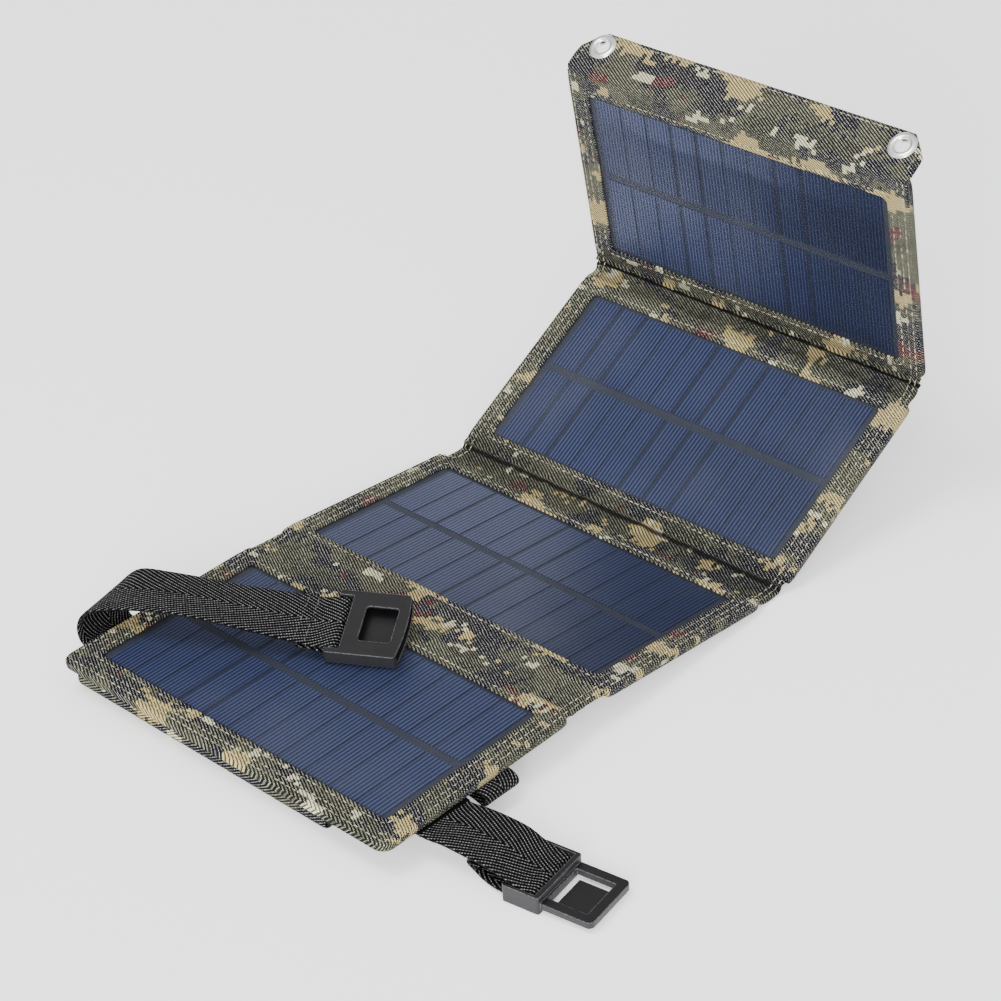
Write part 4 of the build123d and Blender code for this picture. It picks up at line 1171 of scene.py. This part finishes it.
SEAM_ROWS = (11.0, 14.5)  # distances from the bar
SEAM_HALF = 11.5
SEAM_POINTS = 24
seam_path = smooth_stations(left_stations + approach, STRAP_STEP)
from_bar = np.linalg.norm(seam_path[:, :3] - np.array(SOCKET_BAR), axis=1)
seam_rows = []
for distance in SEAM_ROWS:
    row = int(np.argmin(np.abs(from_bar - distance)))
    side = width_way(*seam_path[row, 3:])
    rise = Vector(seam_path[row, :3] - seam_path[row - 1, :3]).normalized().cross(side).normalized()
    centre = Vector(seam_path[row, :3]) + rise * (WEBBING_THICKNESS / 2 + 0.1)
    line = [centre + side * u for u in np.linspace(-SEAM_HALF, SEAM_HALF, SEAM_POINTS)]
    seam_rows.append(stitch_row(line, [rise] * SEAM_POINTS))
seam = stitches("strap_seam", seam_rows, BLACK_THREAD)
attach(seam, "strap_left")

PLUG_ORIGIN = Vector((123.8, -18.74, 0.0))
PLUG_YAW = 8.8
PLUG_BAR = (10.2, 4.2)
plug_bar = PLUG_ORIGIN + level_way(PLUG_YAW) * PLUG_BAR[0] + Vector((0, 0, PLUG_BAR[1]))
right_stations = [
    (84.0, STRAP_Y, STRAP_HEIGHT - 0.2, 0, 0),
    (91.5, STRAP_Y, STRAP_HEIGHT - 0.3, 0, 0),
    (98.0, -20.8, UNDERSIDE - 0.8, 4, 0),
    (107.0, -19.6, UNDERSIDE - 1.2, 4, 2),
    (117.0, -18.5, 9.4, 6, 2),
    (124.8, -18.4, 8.0, PLUG_YAW, 0),
    (129.5, -17.85, 6.7, PLUG_YAW, 0),
]
tail_stations = [
    (129.0, -17.93, 2.35, PLUG_YAW, 0),
    (123.2, -18.6, 2.1, 5, 0),
    (117.0, -17.4, 1.1, -10, 0),
    (110.5, -15.6, 1.0, -14, 0),
    (107.6, -14.9, 1.1, -14, 0),
    (106.9, -14.7, 1.75, -14, 0),
    (107.6, -14.9, 2.45, -14, 0),
    (113.2, -16.3, 2.5, -13, 0),
]
around_plug = bar_turn(plug_bar, PLUG_YAW, 0)
right_ribbon = ribbon("right_webbing", right_stations + around_plug + tail_stations, step=STRAP_STEP)
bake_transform(right_ribbon)
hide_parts("right_strap")

keeper_stations = [
    (56.0, 4.5, UNDERSIDE - 0.7, 0, 0),
    (80.0, 4.5, UNDERSIDE - 0.7, 0, 0),
    (89.6, 4.5, UNDERSIDE - 0.9, 0, 0),
    (92.0, 4.5, UNDERSIDE - 2.4, 0, 0),
    (92.3, 4.5, UNDERSIDE - 4.4, 0, 0),
    (90.6, 4.5, UNDERSIDE - 6.0, 0, 0),
    (86.0, 4.5, UNDERSIDE - 5.2, 0, 0),
    (64.0, 4.5, UNDERSIDE - 2.2, 0, 0),
]
keeper = ribbon("keeper_webbing", keeper_stations, width=17.0, thickness=1.2)
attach(keeper, "panel_1")
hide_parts("strap_keeper")

# ---------------------------------------------------------------- stage and light
bpy.ops.mesh.primitive_plane_add(size=6.0, location=(0, 0, -0.0002))
floor = bpy.context.object
floor.name = "floor"
floor_look, _, floor_shader = material("pale_floor", 0.95, specular=0.0)
floor_shader.inputs["Base Color"].default_value = (0.93, 0.93, 0.93, 1)
floor_shader.inputs["Emission Color"].default_value = (1, 1, 1, 1)
floor_shader.inputs["Emission Strength"].default_value = 0.55
floor.data.materials.append(floor_look)

# The studio is bright on the camera's side and dim opposite it, so that flat faces don't reflect white.
BRIGHT_SIDE = (0.62, -0.66, 0.42)
world = bpy.data.worlds.new("studio")
bpy.context.scene.world = world
world.use_nodes = True
world_tree = world.node_tree
direction = add(world_tree, "ShaderNodeTexCoord").outputs["Generated"]
toward = add(world_tree, "ShaderNodeVectorMath", {0: direction, 1: BRIGHT_SIDE}, operation="DOT_PRODUCT")
spread = {"Value": toward.outputs["Value"], "From Min": -0.7, "From Max": 0.9, "To Min": 0.35, "To Max": 1.7}
strength = add(world_tree, "ShaderNodeMapRange", spread).outputs[0]
world_tree.links.new(strength, world_tree.nodes["Background"].inputs["Strength"])
world_tree.nodes["Background"].inputs["Color"].default_value = (1.0, 1.0, 1.0, 1)


def soft_light(name, place, target, size, power):
    data = bpy.data.lights.new(name, "AREA")
    data.energy = power
    data.size = size
    lamp = bpy.data.objects.new(name, data)
    bpy.context.scene.collection.objects.link(lamp)
    lamp.location = place
    lamp.rotation_euler = (Vector(target) - Vector(place)).to_track_quat("-Z", "Y").to_euler()


soft_light("key", (1.0, -1.5, 0.75), (0, 0.08, 0.03), 0.8, 44.0)
soft_light("top", (-0.3, -0.5, 1.9), (0, 0.1, 0), 0.8, 22.0)
soft_light("back", (-1.05, 1.25, 0.62), (0, 0.12, 0.02), 0.6, 2.2)
